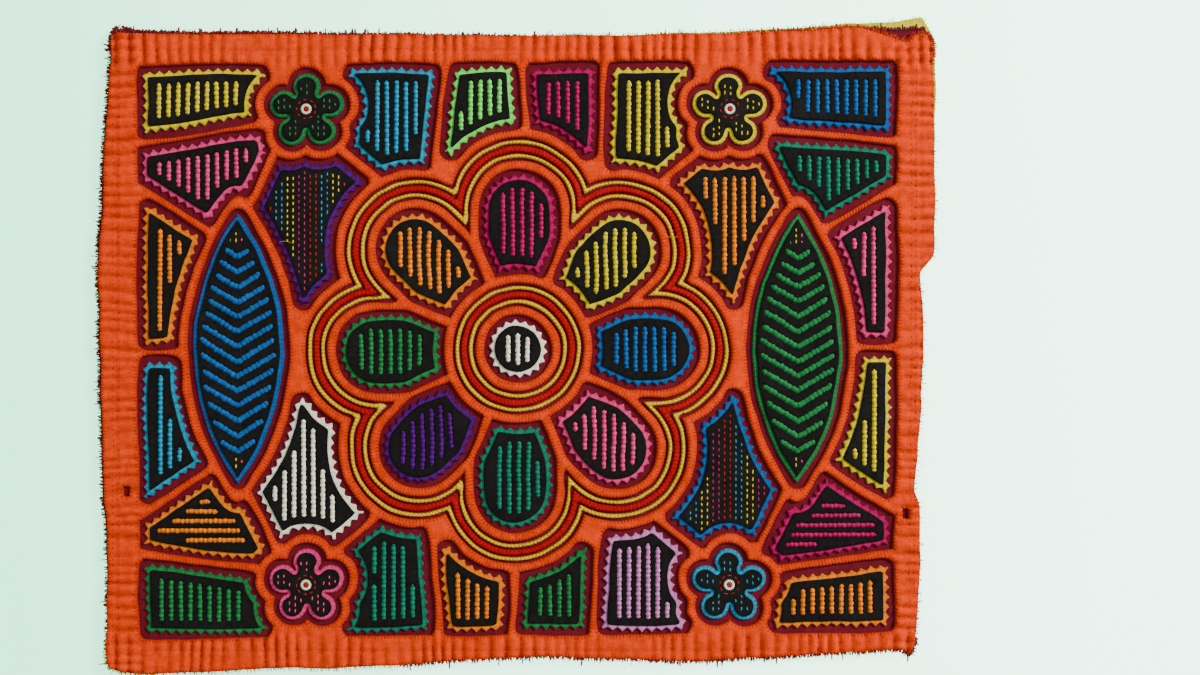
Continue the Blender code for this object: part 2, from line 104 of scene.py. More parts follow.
def length_round(loop: Loop) -> float:
    """Length of a closed loop."""
    return float(np.hypot(*(np.roll(loop, -1, axis=0) - loop).T).sum())


def turned(loop: Loop, anticlockwise: bool) -> Loop:
    """The loop, run the way that is asked for."""
    return loop if (signed_area(loop) > 0) == anticlockwise else loop[::-1]


def corners_of(points: np.ndarray) -> tuple[np.ndarray, np.ndarray]:
    """Lowest and highest plan place among points."""
    return points.min(axis=0), points.max(axis=0)


def run_along(path: np.ndarray) -> np.ndarray:
    """Distance of each point of an open path from its start."""
    return np.concatenate([[0.0], np.cumsum(np.hypot(*np.diff(path, axis=0).T))])


def values_at(at: np.ndarray, run: np.ndarray, pairs: np.ndarray) -> np.ndarray:
    """Pairs of values at distances along a path, from the pairs at its points."""
    return np.stack([np.interp(at, run, pairs[:, 0]), np.interp(at, run, pairs[:, 1])], axis=1)


def inner_side(loop: Loop) -> np.ndarray:
    """Unit direction to the left of the loop at each point."""
    run = np.roll(loop, -1, axis=0) - np.roll(loop, 1, axis=0)
    run = run / np.maximum(np.hypot(run[:, 0], run[:, 1]), 1e-9)[:, None]
    return np.stack([-run[:, 1], run[:, 0]], axis=1)


def inside_loops(points: np.ndarray, loops: list[Loop]) -> np.ndarray:
    """Whether each point lies inside an odd number of loops.

    Args:
        points: Plan points, one a row.
        loops: Closed outlines.

    Returns:
        One truth value for each point.
    """
    inside = np.zeros(len(points), dtype=bool)
    px, py = points[:, 0], points[:, 1]
    for loop in loops:
        for (ax, ay), (bx, by) in zip(loop, np.roll(loop, -1, axis=0)):
            if ay == by:
                continue
            spans = (ay > py) != (by > py)
            if spans.any():
                inside ^= spans & (px < (bx - ax) * (py - ay) / (by - ay) + ax)
    return inside


def node_loops(name: str) -> list[Loop]:
    """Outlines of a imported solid's underside, the outer one first.

    Args:
        name: The node's name.

    Returns:
        The outer outline anticlockwise and the holes clockwise, in millimetres.
    """
    mesh = frame["nodes"][name].data
    mesh.calc_loop_triangles()
    places = np.zeros(len(mesh.vertices) * 3)
    mesh.vertices.foreach_get("co", places)
    places = np.round(places.reshape(-1, 3) / MM, 3)
    unique, index = np.unique(places, axis=0, return_inverse=True)
    index = index.ravel()
    edges = set()
    downward = -0.9
    for triangle in mesh.loop_triangles:
        if triangle.normal.z > downward:
            continue
        a, b, c = (int(index[k]) for k in triangle.vertices)
        edges |= {(a, b), (b, c), (c, a)}
    following = {a: b for a, b in edges if (b, a) not in edges}
    loops = []
    while following:
        start, at = following.popitem()
        chain = [start]
        while at != start:
            chain.append(at)
            at = following.pop(at)
        loops.append(unique[chain][:, :2])
    loops.sort(key=lambda loop: -abs(signed_area(loop)))
    return [turned(loop, k == 0) for k, loop in enumerate(loops)]


def resampled(loop: Loop, step: float, sharp: float = 0.85, pull: float = 8.0) -> Loop:
    """A loop with even points, rounded where it turns gently and sharp at its corners.

    Args:
        loop: The outline.
        step: Distance between points.
        sharp: Turn in radians above which a point stays a corner.
        pull: Longest stretch, in millimetres, over which a bend is felt.

    Returns:
        The finer outline.
    """
    before = loop - np.roll(loop, 1, axis=0)
    after = np.roll(loop, -1, axis=0) - loop
    long_before = np.hypot(*before.T)[:, None]
    long_after = np.hypot(*after.T)[:, None]
    unit_before, unit_after = before / long_before, after / long_after
    cross = unit_before[:, 0] * unit_after[:, 1] - unit_before[:, 1] * unit_after[:, 0]
    turn = np.abs(np.arctan2(cross, np.sum(unit_before * unit_after, axis=1)))
    blended = unit_before * long_after + unit_after * long_before
    blended = blended / np.maximum(np.hypot(*blended.T)[:, None], 1e-9)
    is_corner = (turn > sharp)[:, None]
    leave = np.where(is_corner, unit_after, blended)
    arrive = np.where(is_corner, unit_before, blended)
    points = []
    for k in range(len(loop)):
        span = float(long_after[k, 0])
        reach = min(span, pull)
        start, end = loop[k], loop[(k + 1) % len(loop)]
        tangent_a, tangent_b = leave[k] * reach, arrive[(k + 1) % len(loop)] * reach
        count = max(1, round(span / step))
        for t in np.arange(count) / count:
            h1 = (1 + 2 * t) * (1 - t) ** 2
            h2 = t * (1 - t) ** 2
            h3 = t * t * (3 - 2 * t)
            h4 = t * t * (t - 1)
            points.append(h1 * start + h2 * tangent_a + h3 * end + h4 * tangent_b)
    return np.array(points)


def evenly(loop: Loop, step: float) -> tuple[Loop, np.ndarray]:
    """Points one step apart round a loop, with the direction to their left.

    Args:
        loop: A fine outline.
        step: Distance between points, rounded so that a whole number fits.

    Returns:
        The points and their left-hand directions.
    """
    closed = np.vstack([loop, loop[:1]])
    run = run_along(closed)
    count = max(3, round(run[-1] / step))
    at = run[-1] * np.arange(count) / count
    sides = np.vstack([inner_side(loop), inner_side(loop)[:1]])
    left = values_at(at, run, sides)
    return values_at(at, run, closed), left / np.maximum(np.hypot(*left.T)[:, None], 1e-9)


def by_hand(points: np.ndarray) -> np.ndarray:
    """Moves plan points as a hand that cuts freely would, the same way in every layer."""
    sway, tremble = 0.42, 0.16
    x, y = points[:, 0], points[:, 1]
    dx = sway * ripple(x, y, 38.0, 1) + tremble * ripple(x, y, 12.0, 2)
    dy = sway * ripple(x, y, 34.0, 3) + tremble * ripple(x, y, 11.0, 4)
    return points + np.stack([dx, dy], axis=1)


def every_second(count: int) -> np.ndarray:
    """One at every second point and nought between."""
    return (np.arange(count) % 2 == 0).astype(float)


def sewn(loop: Loop, step: float) -> Loop:
    """A packed outline as the needle left it, with an even number of points one step apart."""
    fine = by_hand(resampled(loop, 0.8 * step))
    count = 2 * max(2, round(length_round(fine) / step / 2))
    return evenly(fine, length_round(fine) / count)[0]


class EdgeFinder:
    """Distance from any plan point to the nearest edge of a sheet."""

    def __init__(self, loops: list[Loop]) -> None:
        """Args:
            loops: The sheet's outlines, with points close together.
        """
        points = np.vstack(loops)
        self.loops = loops
        self.tree = KDTree(len(points))
        for k, (x, y) in enumerate(points):
            self.tree.insert((x, y, 0.0), k)
        self.tree.balance()

    def distance(self, points: np.ndarray) -> np.ndarray:
        """Distance of each point from the nearest edge point."""
        return np.array([self.tree.find((x, y, 0.0))[2] for x, y in points])

    def signed(self, points: np.ndarray) -> np.ndarray:
        """Distance of each point, below zero inside the sheet."""
        return np.where(inside_loops(points, self.loops), -1.0, 1.0) * self.distance(points)


def inset(loop: Loop, by: float, step: float = 0.8) -> Loop:
    """The outline that lies a fixed distance inside another one.

    Args:
        loop: A fine outline.
        by: The distance.
        step: Grid step of the tracing.

    Returns:
        The largest outline at that distance, anticlockwise.
    """
    low, high = loop.min(axis=0) - step, loop.max(axis=0) + step
    xs, ys = np.arange(low[0], high[0] + step, step), np.arange(low[1], high[1] + step, step)
    x, y = np.meshgrid(xs, ys, indexing="ij")
    values = EdgeFinder([loop]).signed(np.stack([x.ravel(), y.ravel()], axis=1)).reshape(x.shape)
    is_low = values < -by
    mixed = is_low[:-1, :-1].astype(int) + is_low[1:, :-1] + is_low[1:, 1:] + is_low[:-1, 1:]
    following = {}
    for i, j in zip(*np.nonzero((mixed > 0) & (mixed < 4))):
        corners = [(i, j), (i + 1, j), (i + 1, j + 1), (i, j + 1)]
        held = [is_low[c] for c in corners]
        for k in range(4):
            if not held[k] or held[(k + 1) % 4]:
                continue
            end = (k + 1) % 4
            while held[end] or not held[(end + 1) % 4]:
                end = (end + 1) % 4
            key = frozenset((corners[k], corners[(k + 1) % 4]))
            following[key] = frozenset((corners[end], corners[(end + 1) % 4]))
    found = []
    while following:
        key, after = following.popitem()
        chain = [key]
        while after != chain[0]:
            chain.append(after)
            after = following.pop(after)
        points = []
        for edge in chain:
            a, b = sorted(edge)
            t = (-by - values[a]) / (values[b] - values[a])
            points.append((x[a] + t * (x[b] - x[a]), y[a] + t * (y[b] - y[a])))
        found.append(np.array(points))
    best = turned(max(found, key=lambda item: abs(signed_area(item))), True)
    return evenly(best, 2 * step)[0]


# Finishes
Colour = tuple[float, float, float]


class Graph:
    """Short calls for building a material's nodes."""

    def __init__(self, name: str) -> None:
        """Args:
            name: The material's name.
        """
        self.material = bpy.data.materials.new(name)
        self.material.use_nodes = True
        self.tree = self.material.node_tree
        self.shader = self.tree.nodes["Principled BSDF"]
        coordinates = self.tree.nodes.new("ShaderNodeTexCoord")
        self.place = coordinates.outputs["Object"]

    def put(self, socket: bpy.types.NodeSocket, value: object) -> None:
        """Links a socket into another, or sets it to a number or colour."""
        if isinstance(value, bpy.types.NodeSocket):
            self.tree.links.new(value, socket)
        else:
            socket.default_value = value

    def noise(self, scale: Vector, detail: float = 2.0, distortion: float = 0.0) -> bpy.types.NodeSocket:
        """Noise with its own scale along each axis, in waves a metre."""
        mapping = self.tree.nodes.new("ShaderNodeMapping")
        self.put(mapping.inputs["Vector"], self.place)
        mapping.inputs["Scale"].default_value = scale
        node = self.tree.nodes.new("ShaderNodeTexNoise")
        self.put(node.inputs["Vector"], mapping.outputs["Vector"])
        node.inputs["Scale"].default_value = 1.0
        node.inputs["Detail"].default_value = detail
        node.inputs["Distortion"].default_value = distortion
        return node.outputs["Fac"]

    def bands(self, direction: str, pitch: float) -> bpy.types.NodeSocket:
        """Even bands across one axis, one every pitch in metres."""
        node = self.tree.nodes.new("ShaderNodeTexWave")
        node.bands_direction = direction
        self.put(node.inputs["Vector"], self.place)
        node.inputs["Scale"].default_value = math.tau / 20.0 / pitch
        node.inputs["Distortion"].default_value = 0.6
        node.inputs["Detail Scale"].default_value = 0.4
        return node.outputs["Fac"]

    def maths(self, operation: str, a: object, b: object) -> bpy.types.NodeSocket:
        """One sum of two sockets or numbers."""
        node = self.tree.nodes.new("ShaderNodeMath")
        node.operation = operation
        self.put(node.inputs[0], a)
        self.put(node.inputs[1], b)
        return node.outputs[0]

    def ramp(self, value: object, start: float, end: float, low: float = 0.0,
             high: float = 1.0) -> bpy.types.NodeSocket:
        """Runs from low to high while a value goes from start to end."""
        node = self.tree.nodes.new("ShaderNodeMapRange")
        self.put(node.inputs["Value"], value)
        node.inputs["From Min"].default_value = start
        node.inputs["From Max"].default_value = end
        node.inputs["To Min"].default_value = low
        node.inputs["To Max"].default_value = high
        return node.outputs["Result"]

    def spread(self, value: object, low: float, high: float) -> bpy.types.NodeSocket:
        """Turns the middle of a noise into a full run from low to high."""
        return self.ramp(value, 0.3, 0.7, low, high)

    def mix(self, factor: object, a: object, b: object, blend: str = "MIX") -> bpy.types.NodeSocket:
        """Mixes two colours."""
        node = self.tree.nodes.new("ShaderNodeMix")
        node.data_type = "RGBA"
        node.blend_type = blend
        self.put(node.inputs["Factor"], factor)
        self.put(node.inputs["A"], a)
        self.put(node.inputs["B"], b)
        return node.outputs["Result"]

    def attribute(self, name: str) -> bpy.types.NodeSocket:
        """A number that the piece's points carry."""
        node = self.tree.nodes.new("ShaderNodeAttribute")
        node.attribute_name = name
        return node.outputs["Fac"]

    def bump(self, height: bpy.types.NodeSocket, distance: float, strength: float) -> None:
        """Raises the shader's surface by a height."""
        node = self.tree.nodes.new("ShaderNodeBump")
        node.inputs["Strength"].default_value = strength
        node.inputs["Distance"].default_value = distance
        self.put(node.inputs["Height"], height)
        self.put(self.shader.inputs["Normal"], node.outputs["Normal"])


@dataclass(frozen=True)
class Cotton:
    """Plain woven cotton cloth.

    Attributes:
        name: The record's material slot.
        colour: The dyed colour.
        weave: Distance between threads, in metres.
        edge_shade: How much darker painted shade makes the cloth at its turned edges, stitch pulls and
            valleys.
        roughness: Roughness of dry cotton.
        specular: Its faint shine.
    """

    name: str
    colour: Colour
    weave: float = 0.00052
    edge_shade: float = 0.5
    roughness: float = 0.88
    specular: float = 0.04

    def material(self) -> bpy.types.Material:
        """The cloth's material, made once."""
        made = bpy.data.materials.get(self.name + "_cotton")
        if made:
            return made
        graph = Graph(self.name + "_cotton")
        across, along = 1.0 / self.weave, 0.09 / self.weave
        warp = graph.noise(Vector((across, along, across)), 1.0)
        weft = graph.noise(Vector((along, across, across)), 1.0)
        threads = graph.maths("ADD", warp, weft)
        mottle = graph.noise(Vector((90.0, 90.0, 90.0)), 3.0)
        broad = graph.noise(Vector((16.0, 13.0, 16.0)), 2.0)
        fade = graph.maths("MULTIPLY", graph.spread(mottle, 0.0, 0.6), graph.spread(broad, 0.2, 1.0))
        worn = tuple(min(1.0, 1.16 * c + 0.006) for c in self.colour)
        base = graph.mix(fade, (*(0.92 * c for c in self.colour), 1.0), (*worn, 1.0))
        # Painted light and shade of fine creases: a noise that makes the colour a little darker or lighter.
        crease_shading = graph.spread(graph.noise(Vector((330.0, 330.0, 330.0)), 3.0, 0.8), 0.84, 1.1)
        yarns = graph.spread(graph.maths("MULTIPLY", threads, 0.5), 0.8, 1.16)
        tone = graph.maths("MULTIPLY", yarns, crease_shading)
        # Painted shade: the rim attribute darkens the colour at turned edges, stitch pulls, pucker valleys
        # and the waists and feet of bars.
        edge = graph.maths("MULTIPLY", graph.attribute("rim"), self.edge_shade)
        rim = graph.maths("ADD", edge, 1 - self.edge_shade)
        shaded = graph.mix(1.0, base, graph.maths("MULTIPLY", tone, rim), "MULTIPLY")
        graph.put(graph.shader.inputs["Base Color"], shaded)
        grid = graph.maths("MAXIMUM", graph.bands("X", self.weave), graph.bands("Y", self.weave))
        height = graph.maths("ADD", graph.maths("MULTIPLY", grid, 0.5), threads)
        graph.bump(height, 0.00012, 0.55)
        graph.shader.inputs["Roughness"].default_value = self.roughness
        graph.shader.inputs["Specular IOR Level"].default_value = self.specular
        return graph.material


@dataclass(frozen=True)
class Thread:
    """Sewing thread with its twist.

    Attributes:
        name: The thread's colour name.
        colour: The colour in full light.
        roughness: Roughness of its fibres.
        specular: Its faint shine.
    """

    name: str
    colour: Colour
    roughness: float = 0.7
    specular: float = 0.1

    def material(self) -> bpy.types.Material:
        """The thread's material, made once."""
        made = bpy.data.materials.get(self.name + "_thread")
        if made:
            return made
        graph = Graph(self.name + "_thread")
        fibre = graph.noise(Vector((2600.0, 2600.0, 2600.0)), 2.0)
        patch = graph.noise(Vector((160.0, 160.0, 160.0)), 2.0)
        dark = tuple(0.55 * c for c in self.colour)
        base = graph.mix(graph.spread(fibre, 0.0, 0.75), (*self.colour, 1.0), (*dark, 1.0))
        pale = tuple(min(1.0, 1.2 * c + 0.02) for c in self.colour)
        base = graph.mix(graph.spread(patch, 0.0, 0.4), base, (*pale, 1.0))
        graph.put(graph.shader.inputs["Base Color"], base)
        graph.bump(fibre, 0.0001, 0.6)
        graph.shader.inputs["Roughness"].default_value = self.roughness
        graph.shader.inputs["Specular IOR Level"].default_value = self.specular
        return graph.material


class Dye(Enum):
    """The cottons of the panel."""

    BACKING = Cotton("backing_yellow", (0.64, 0.60, 0.0))
    MAROON = Cotton("maroon", (0.120, 0.0065, 0.015), edge_shade=0.2)
    ORANGE = Cotton("orange", (0.72, 0.042, 0.0), edge_shade=0.55)
    STRIP = Cotton("strip_yellow", (1.0, 0.55, 0.0), edge_shade=0.58)
    RED = Cotton("red", (0.39, 0.0045, 0.006))
    BLACK = Cotton("black", (0.0095, 0.0088, 0.0080), edge_shade=0.5)
    LEMON = Cotton("lemon", (0.66, 0.52, 0.0))
    GOLD = Cotton("gold", (0.80, 0.19, 0.0))
    BLUE = Cotton("blue", (0.006, 0.10, 0.34))
    SKY = Cotton("sky", (0.006, 0.25, 0.42))
    GREEN = Cotton("green", (0.016, 0.175, 0.045))
    TEAL = Cotton("teal", (0.005, 0.18, 0.105))
    LIME = Cotton("lime", (0.13, 0.80, 0.10))
    MAGENTA = Cotton("magenta", (0.39, 0.004, 0.088))
    PINK = Cotton("pink", (0.68, 0.045, 0.18))
    LILAC = Cotton("lilac", (0.56, 0.20, 0.45))
    VIOLET = Cotton("violet", (0.068, 0.003, 0.148))
    WHITE = Cotton("white", (0.86, 0.85, 0.66), edge_shade=0.3)


THREAD_SHADES = {Dye.ORANGE: 0.5, Dye.STRIP: 0.55}


def dye_of(node: str) -> Dye:
    """The dye that the record gives a node."""
    for row in frame["record"]["subparts"]:
        if row["node"] == node:
            return next(dye for dye in Dye if dye.value.name == row["material_slot"])
    raise KeyError(node)


# Heights of the layers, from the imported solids
@dataclass(frozen=True)
class Levels:
    """Heights in millimetres of the cloths' undersides and faces."""

    backing_top: float
    middle_bottom: float
    middle_top: float
    inlay_bottom: float
    insert_top: float
    top_face: float
    patch_bottom: float
    patch_top: float

    @classmethod
    def from_frame(cls) -> "Levels":
        """Reads the layers and closes the small gaps that solids keep."""
        seam, top_cloth = 0.04, 1.6
        middle_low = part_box("middle_cloth")[0].z / MM
        inlay_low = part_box("heart_insert")[0].z / MM
        inlay_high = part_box("heart_insert")[1].z / MM
        patch_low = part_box("petal_1_patch")[0].z / MM
        patch_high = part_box("petal_1_patch")[1].z / MM
        return cls(
            backing_top=middle_low - seam,
            middle_bottom=middle_low,
            middle_top=inlay_low - seam,
            inlay_bottom=inlay_low,
            insert_top=inlay_high,
            top_face=inlay_low + top_cloth,
            patch_bottom=inlay_high + seam,
            patch_top=(patch_low + patch_high) / 2,
        )


def lie(x: np.ndarray, y: np.ndarray) -> np.ndarray:
    """How far the whole stack of cloths stands off the table, in millimetres."""
    low, high = plan_corners()
    swell = 0.22 * (1.0 + ripple(x, y, 80.0, 7))
    left = 0.9 * np.exp(-np.maximum(x - low[0], 0.0) / 7.0) * (0.6 + 0.4 * ripple(x, y, 60.0, 8))
    right = 0.6 * np.exp(-np.maximum(high[0] - x, 0.0) / 6.0) * (0.6 + 0.4 * ripple(x, y, 50.0, 9))
    return np.maximum(swell + left + right, 0.0)


@lru_cache(maxsize=None)
def plan_corners() -> tuple[np.ndarray, np.ndarray]:
    """Plan corners of the panel's solids, in millimetres."""
    boxes = [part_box(name) for name in ("backing_cloth", "middle_cloth", "top_cloth")]
    low = np.min([box[0] for box in boxes], axis=0)[:2] / MM
    high = np.max([box[1] for box in boxes], axis=0)[:2] / MM
    return low, high


def add_object(name: str, points: np.ndarray, faces: list,
               rim: Optional[np.ndarray] = None) -> bpy.types.Object:
    """Makes a mesh object from points in millimetres.

    Args:
        name: The piece's name.
        points: Places, one a row.
        faces: Corner numbers of each face.
        rim: A painted-shade factor for each point, 0 at an edge, where the colour is darkest, and 1 away from
            it.

    Returns:
        The new object, at the origin.
    """
    mesh = bpy.data.meshes.new(name)
    mesh.from_pydata((points * MM).tolist(), [], faces)
    mesh.update()
    values = np.ones(len(points)) if rim is None else rim
    mesh.attributes.new("rim", "FLOAT", "POINT").data.foreach_set("value", values.astype(np.float32))
    piece = bpy.data.objects.new(name, mesh)
    bpy.context.scene.collection.objects.link(piece)
    return piece


def dressed(piece: bpy.types.Object, dye: Dye, replaced: tuple[str, ...] = ()) -> bpy.types.Object:
    """Gives a piece its cloth, the body that it rides on and the solids that it stands for.

    Args:
        piece: The piece.
        dye: Its cloth.
        replaced: Nodes whose solids it stands for.

    Returns:
        The same piece.
    """
    piece.data.materials.append(dye.value.material())
    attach(piece, BODY)
    if replaced:
        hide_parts(*replaced)
    LOG.info("%s made", piece.name)
    return piece


@dataclass
class Sheet:
    """One cloth with its edges turned under.

    Attributes:
        name: The piece's name.
        loops: The outer outline and the holes, with points close together.
        bottom: Height of its underside.
        top: Height of its face away from the edges.
        turn: Radius of the turned edge.
        cell: Distance between points inside the cloth.
        relief: Height added by puckers and folds.
        pinch: How far every second edge point is pulled down by a stitch.
        wall: Height of its edge, as a share of its thickness.
        shade_reach: How far from an edge the cloth is in shade.
        piece: The finished cloth.
    """

    name: str
    loops: list[Loop]
    bottom: float
    top: float
    turn: float = 0.7
    cell: float = 2.2
    relief: Optional[Relief] = None
    pinch: float = 0.12
    wall: float = 0.3
    shade_reach: float = 0.7
    piece: Optional[bpy.types.Object] = field(init=False, default=None)

    def flat_area(self) -> float:
        """Area of the cloth in plan, in square metres."""
        outer, *holes = (abs(signed_area(loop)) for loop in self.loops)
        return (outer - sum(holes)) * MM * MM

    def flat_size(self) -> tuple[float, float]:
        """Width and length of the cut, in metres."""
        size = np.ptp(self.loops[0], axis=0) * MM
        return max(0.01, float(size[0])), max(0.01, float(size[1]))

    def inner_points(self, finder: EdgeFinder) -> tuple[np.ndarray, np.ndarray]:
        """Points inside the cloth: three rows along each edge and an uneven grid between.

        Args:
            finder: Finds the distance to the cloth's edges.

        Returns:
            The plan points, and how strongly the stitches pull at each.
        """
        rows, offsets, pulls = [], [], []
        edge_rows = ((0.4, 1.0), (0.95, 0.9), (1.7, 0.6))
        for loop in self.loops:
            left = inner_side(loop)
            for share, fade in edge_rows:
                rows.append(loop + left * share * self.turn)
                offsets.append(np.full(len(loop), share * self.turn))
                pulls.append(fade * every_second(len(loop)))
        rows, offsets, pulls = np.vstack(rows), np.concatenate(offsets), np.concatenate(pulls)
        keep = (finder.distance(rows) > 0.86 * offsets) & inside_loops(rows, self.loops)
        low, high = corners_of(self.loops[0])
        rng = np.random.default_rng(len(self.loops[0]))
        xs = np.arange(low[0], high[0], self.cell)
        ys = np.arange(low[1], high[1], self.cell * 0.87)
        x, y = np.meshgrid(xs, ys, indexing="ij")
        x = x + (np.arange(len(ys)) % 2) * self.cell / 2
        grid = np.stack([x.ravel(), y.ravel()], axis=1)
        grid = grid + rng.uniform(-0.2, 0.2, grid.shape) * self.cell
        grid = grid[finder.distance(grid) > edge_rows[-1][0] * self.turn + 0.35 * self.cell]
        grid = grid[inside_loops(grid, self.loops)]
        return np.vstack([rows[keep], grid]), np.concatenate([pulls[keep], np.zeros(len(grid))])

    def cut(self, free: np.ndarray) -> tuple[list, dict[int, int], list]:
        """Triangulates the plan between the outlines.

        Args:
            free: Points inside the cloth.

        Returns:
            The plan points, where each point that was given went, and the triangles.
        """
        edge_points = np.vstack(self.loops)
        edges, start = [], 0
        for loop in self.loops:
            edges += [(start + k, start + (k + 1) % len(loop)) for k in range(len(loop))]
            start += len(loop)
        plan = [Vector(p) for p in (np.vstack([edge_points, free]) if len(free) else edge_points)]
        made, _, faces, origins, _, _ = delaunay_2d_cdt(plan, edges, [], 1, 1e-5)
        went = {origin: k for k, found in enumerate(origins) for origin in found}
        on_edge = np.array([any(o < len(edge_points) for o in found) or not found for found in origins])
        places = np.array([(p.x, p.y) for p in made])
        triangles = np.array([f for f in faces if len(f) == 3])
        middles = places[triangles].mean(axis=1)
        unsure = on_edge[triangles].all(axis=1)
        keep = np.ones(len(triangles), dtype=bool)
        keep[unsure] = inside_loops(middles[unsure], self.loops)
        triangles = triangles[keep]
        a, b, c = (places[triangles[:, k]] for k in range(3))
        flipped = (b[:, 0] - a[:, 0]) * (c[:, 1] - a[:, 1]) - (b[:, 1] - a[:, 1]) * (c[:, 0] - a[:, 0]) < 0
        triangles[flipped] = triangles[flipped][:, ::-1]
        return places, went, triangles

    def under_points(self, finder: EdgeFinder) -> np.ndarray:
        """A sparse grid for the underside of a wide cloth, and none for a narrow one."""
        step, clear = 9.0, 2.0
        if self.cell * 4 >= float(np.ptp(self.loops[0], axis=0).min()):
            return np.empty((0, 2))
        low, high = corners_of(self.loops[0])
        x, y = np.meshgrid(np.arange(low[0], high[0], step), np.arange(low[1], high[1], step))
        sparse = np.stack([x.ravel(), y.ravel()], axis=1)
        sparse = sparse[inside_loops(sparse, self.loops)]
        return sparse[finder.distance(sparse) > clear] if len(sparse) else sparse

    def build(self, more: Optional[np.ndarray] = None, more_faces: list = (),
              more_rim: Optional[np.ndarray] = None) -> bpy.types.Object:
        """Makes the cloth: a rounded face, walls and a plain underside.

        Args:
            more: Points of further closed forms of the same cloth.
            more_faces: Their faces.
            more_rim: A shade for each of them.

        Returns:
            The cloth's piece.
        """
        finder = EdgeFinder(self.loops)
        free, free_pull = self.inner_points(finder)
        places, went, triangles = self.cut(free)
        far = finder.distance(places)
        share = np.clip(far / self.turn, 0.0, 1.0)
        profile = np.sqrt(np.maximum(1.0 - (1.0 - share) ** 2, 0.0))
        height = self.bottom + (self.top - self.bottom) * (self.wall + (1 - self.wall) * profile)
        given = np.concatenate([every_second(len(loop)) for loop in self.loops] + [free_pull])
        pulled = np.zeros(len(places))
        for k, value in enumerate(given):
            if value and k in went:
                pulled[went[k]] = value
        height = height - self.pinch * pulled
        # Painted shade: darker colour near the edges and where the stitches pull.
        rim = np.clip(far / self.shade_reach, 0.0, 1.0) * (1.0 - pulled)
        if self.relief is not None:
            raised = self.relief(places[:, 0], places[:, 1])
            height = height + raised * share
            # Painted shade in the valleys of the puckers and folds.
            valley = np.clip(0.12 - raised / 0.8, 0.0, 1.0)
            rim = rim * (1.0 - 0.75 * valley)
        height = height + lie(places[:, 0], places[:, 1])
        upper = np.column_stack([places, height])

        under_plan, under_went, under_triangles = self.cut(self.under_points(finder))
        under_z = self.bottom + lie(under_plan[:, 0], under_plan[:, 1])
        under = np.column_stack([under_plan, under_z])
        base = len(upper)
        faces = triangles.tolist() + (under_triangles[:, ::-1] + base).tolist()
        start = 0
        for loop in self.loops:
            for k in range(len(loop)):
                a, b = start + k, start + (k + 1) % len(loop)
                faces.append((base + under_went[a], base + under_went[b], went[b], went[a]))
            start += len(loop)
        points, rim = np.vstack([upper, under]), np.concatenate([rim, np.ones(len(under))])
        if more is not None:
            faces += [tuple(len(points) + c for c in face) for face in more_faces]
            points, rim = np.vstack([points, more]), np.concatenate([rim, more_rim])
        self.piece = add_object(self.name, points, faces, rim)
        self.piece.data.shade_smooth()
        return self.piece

    def declare(self, going_with: list = ()) -> None:
        """Does nothing."""


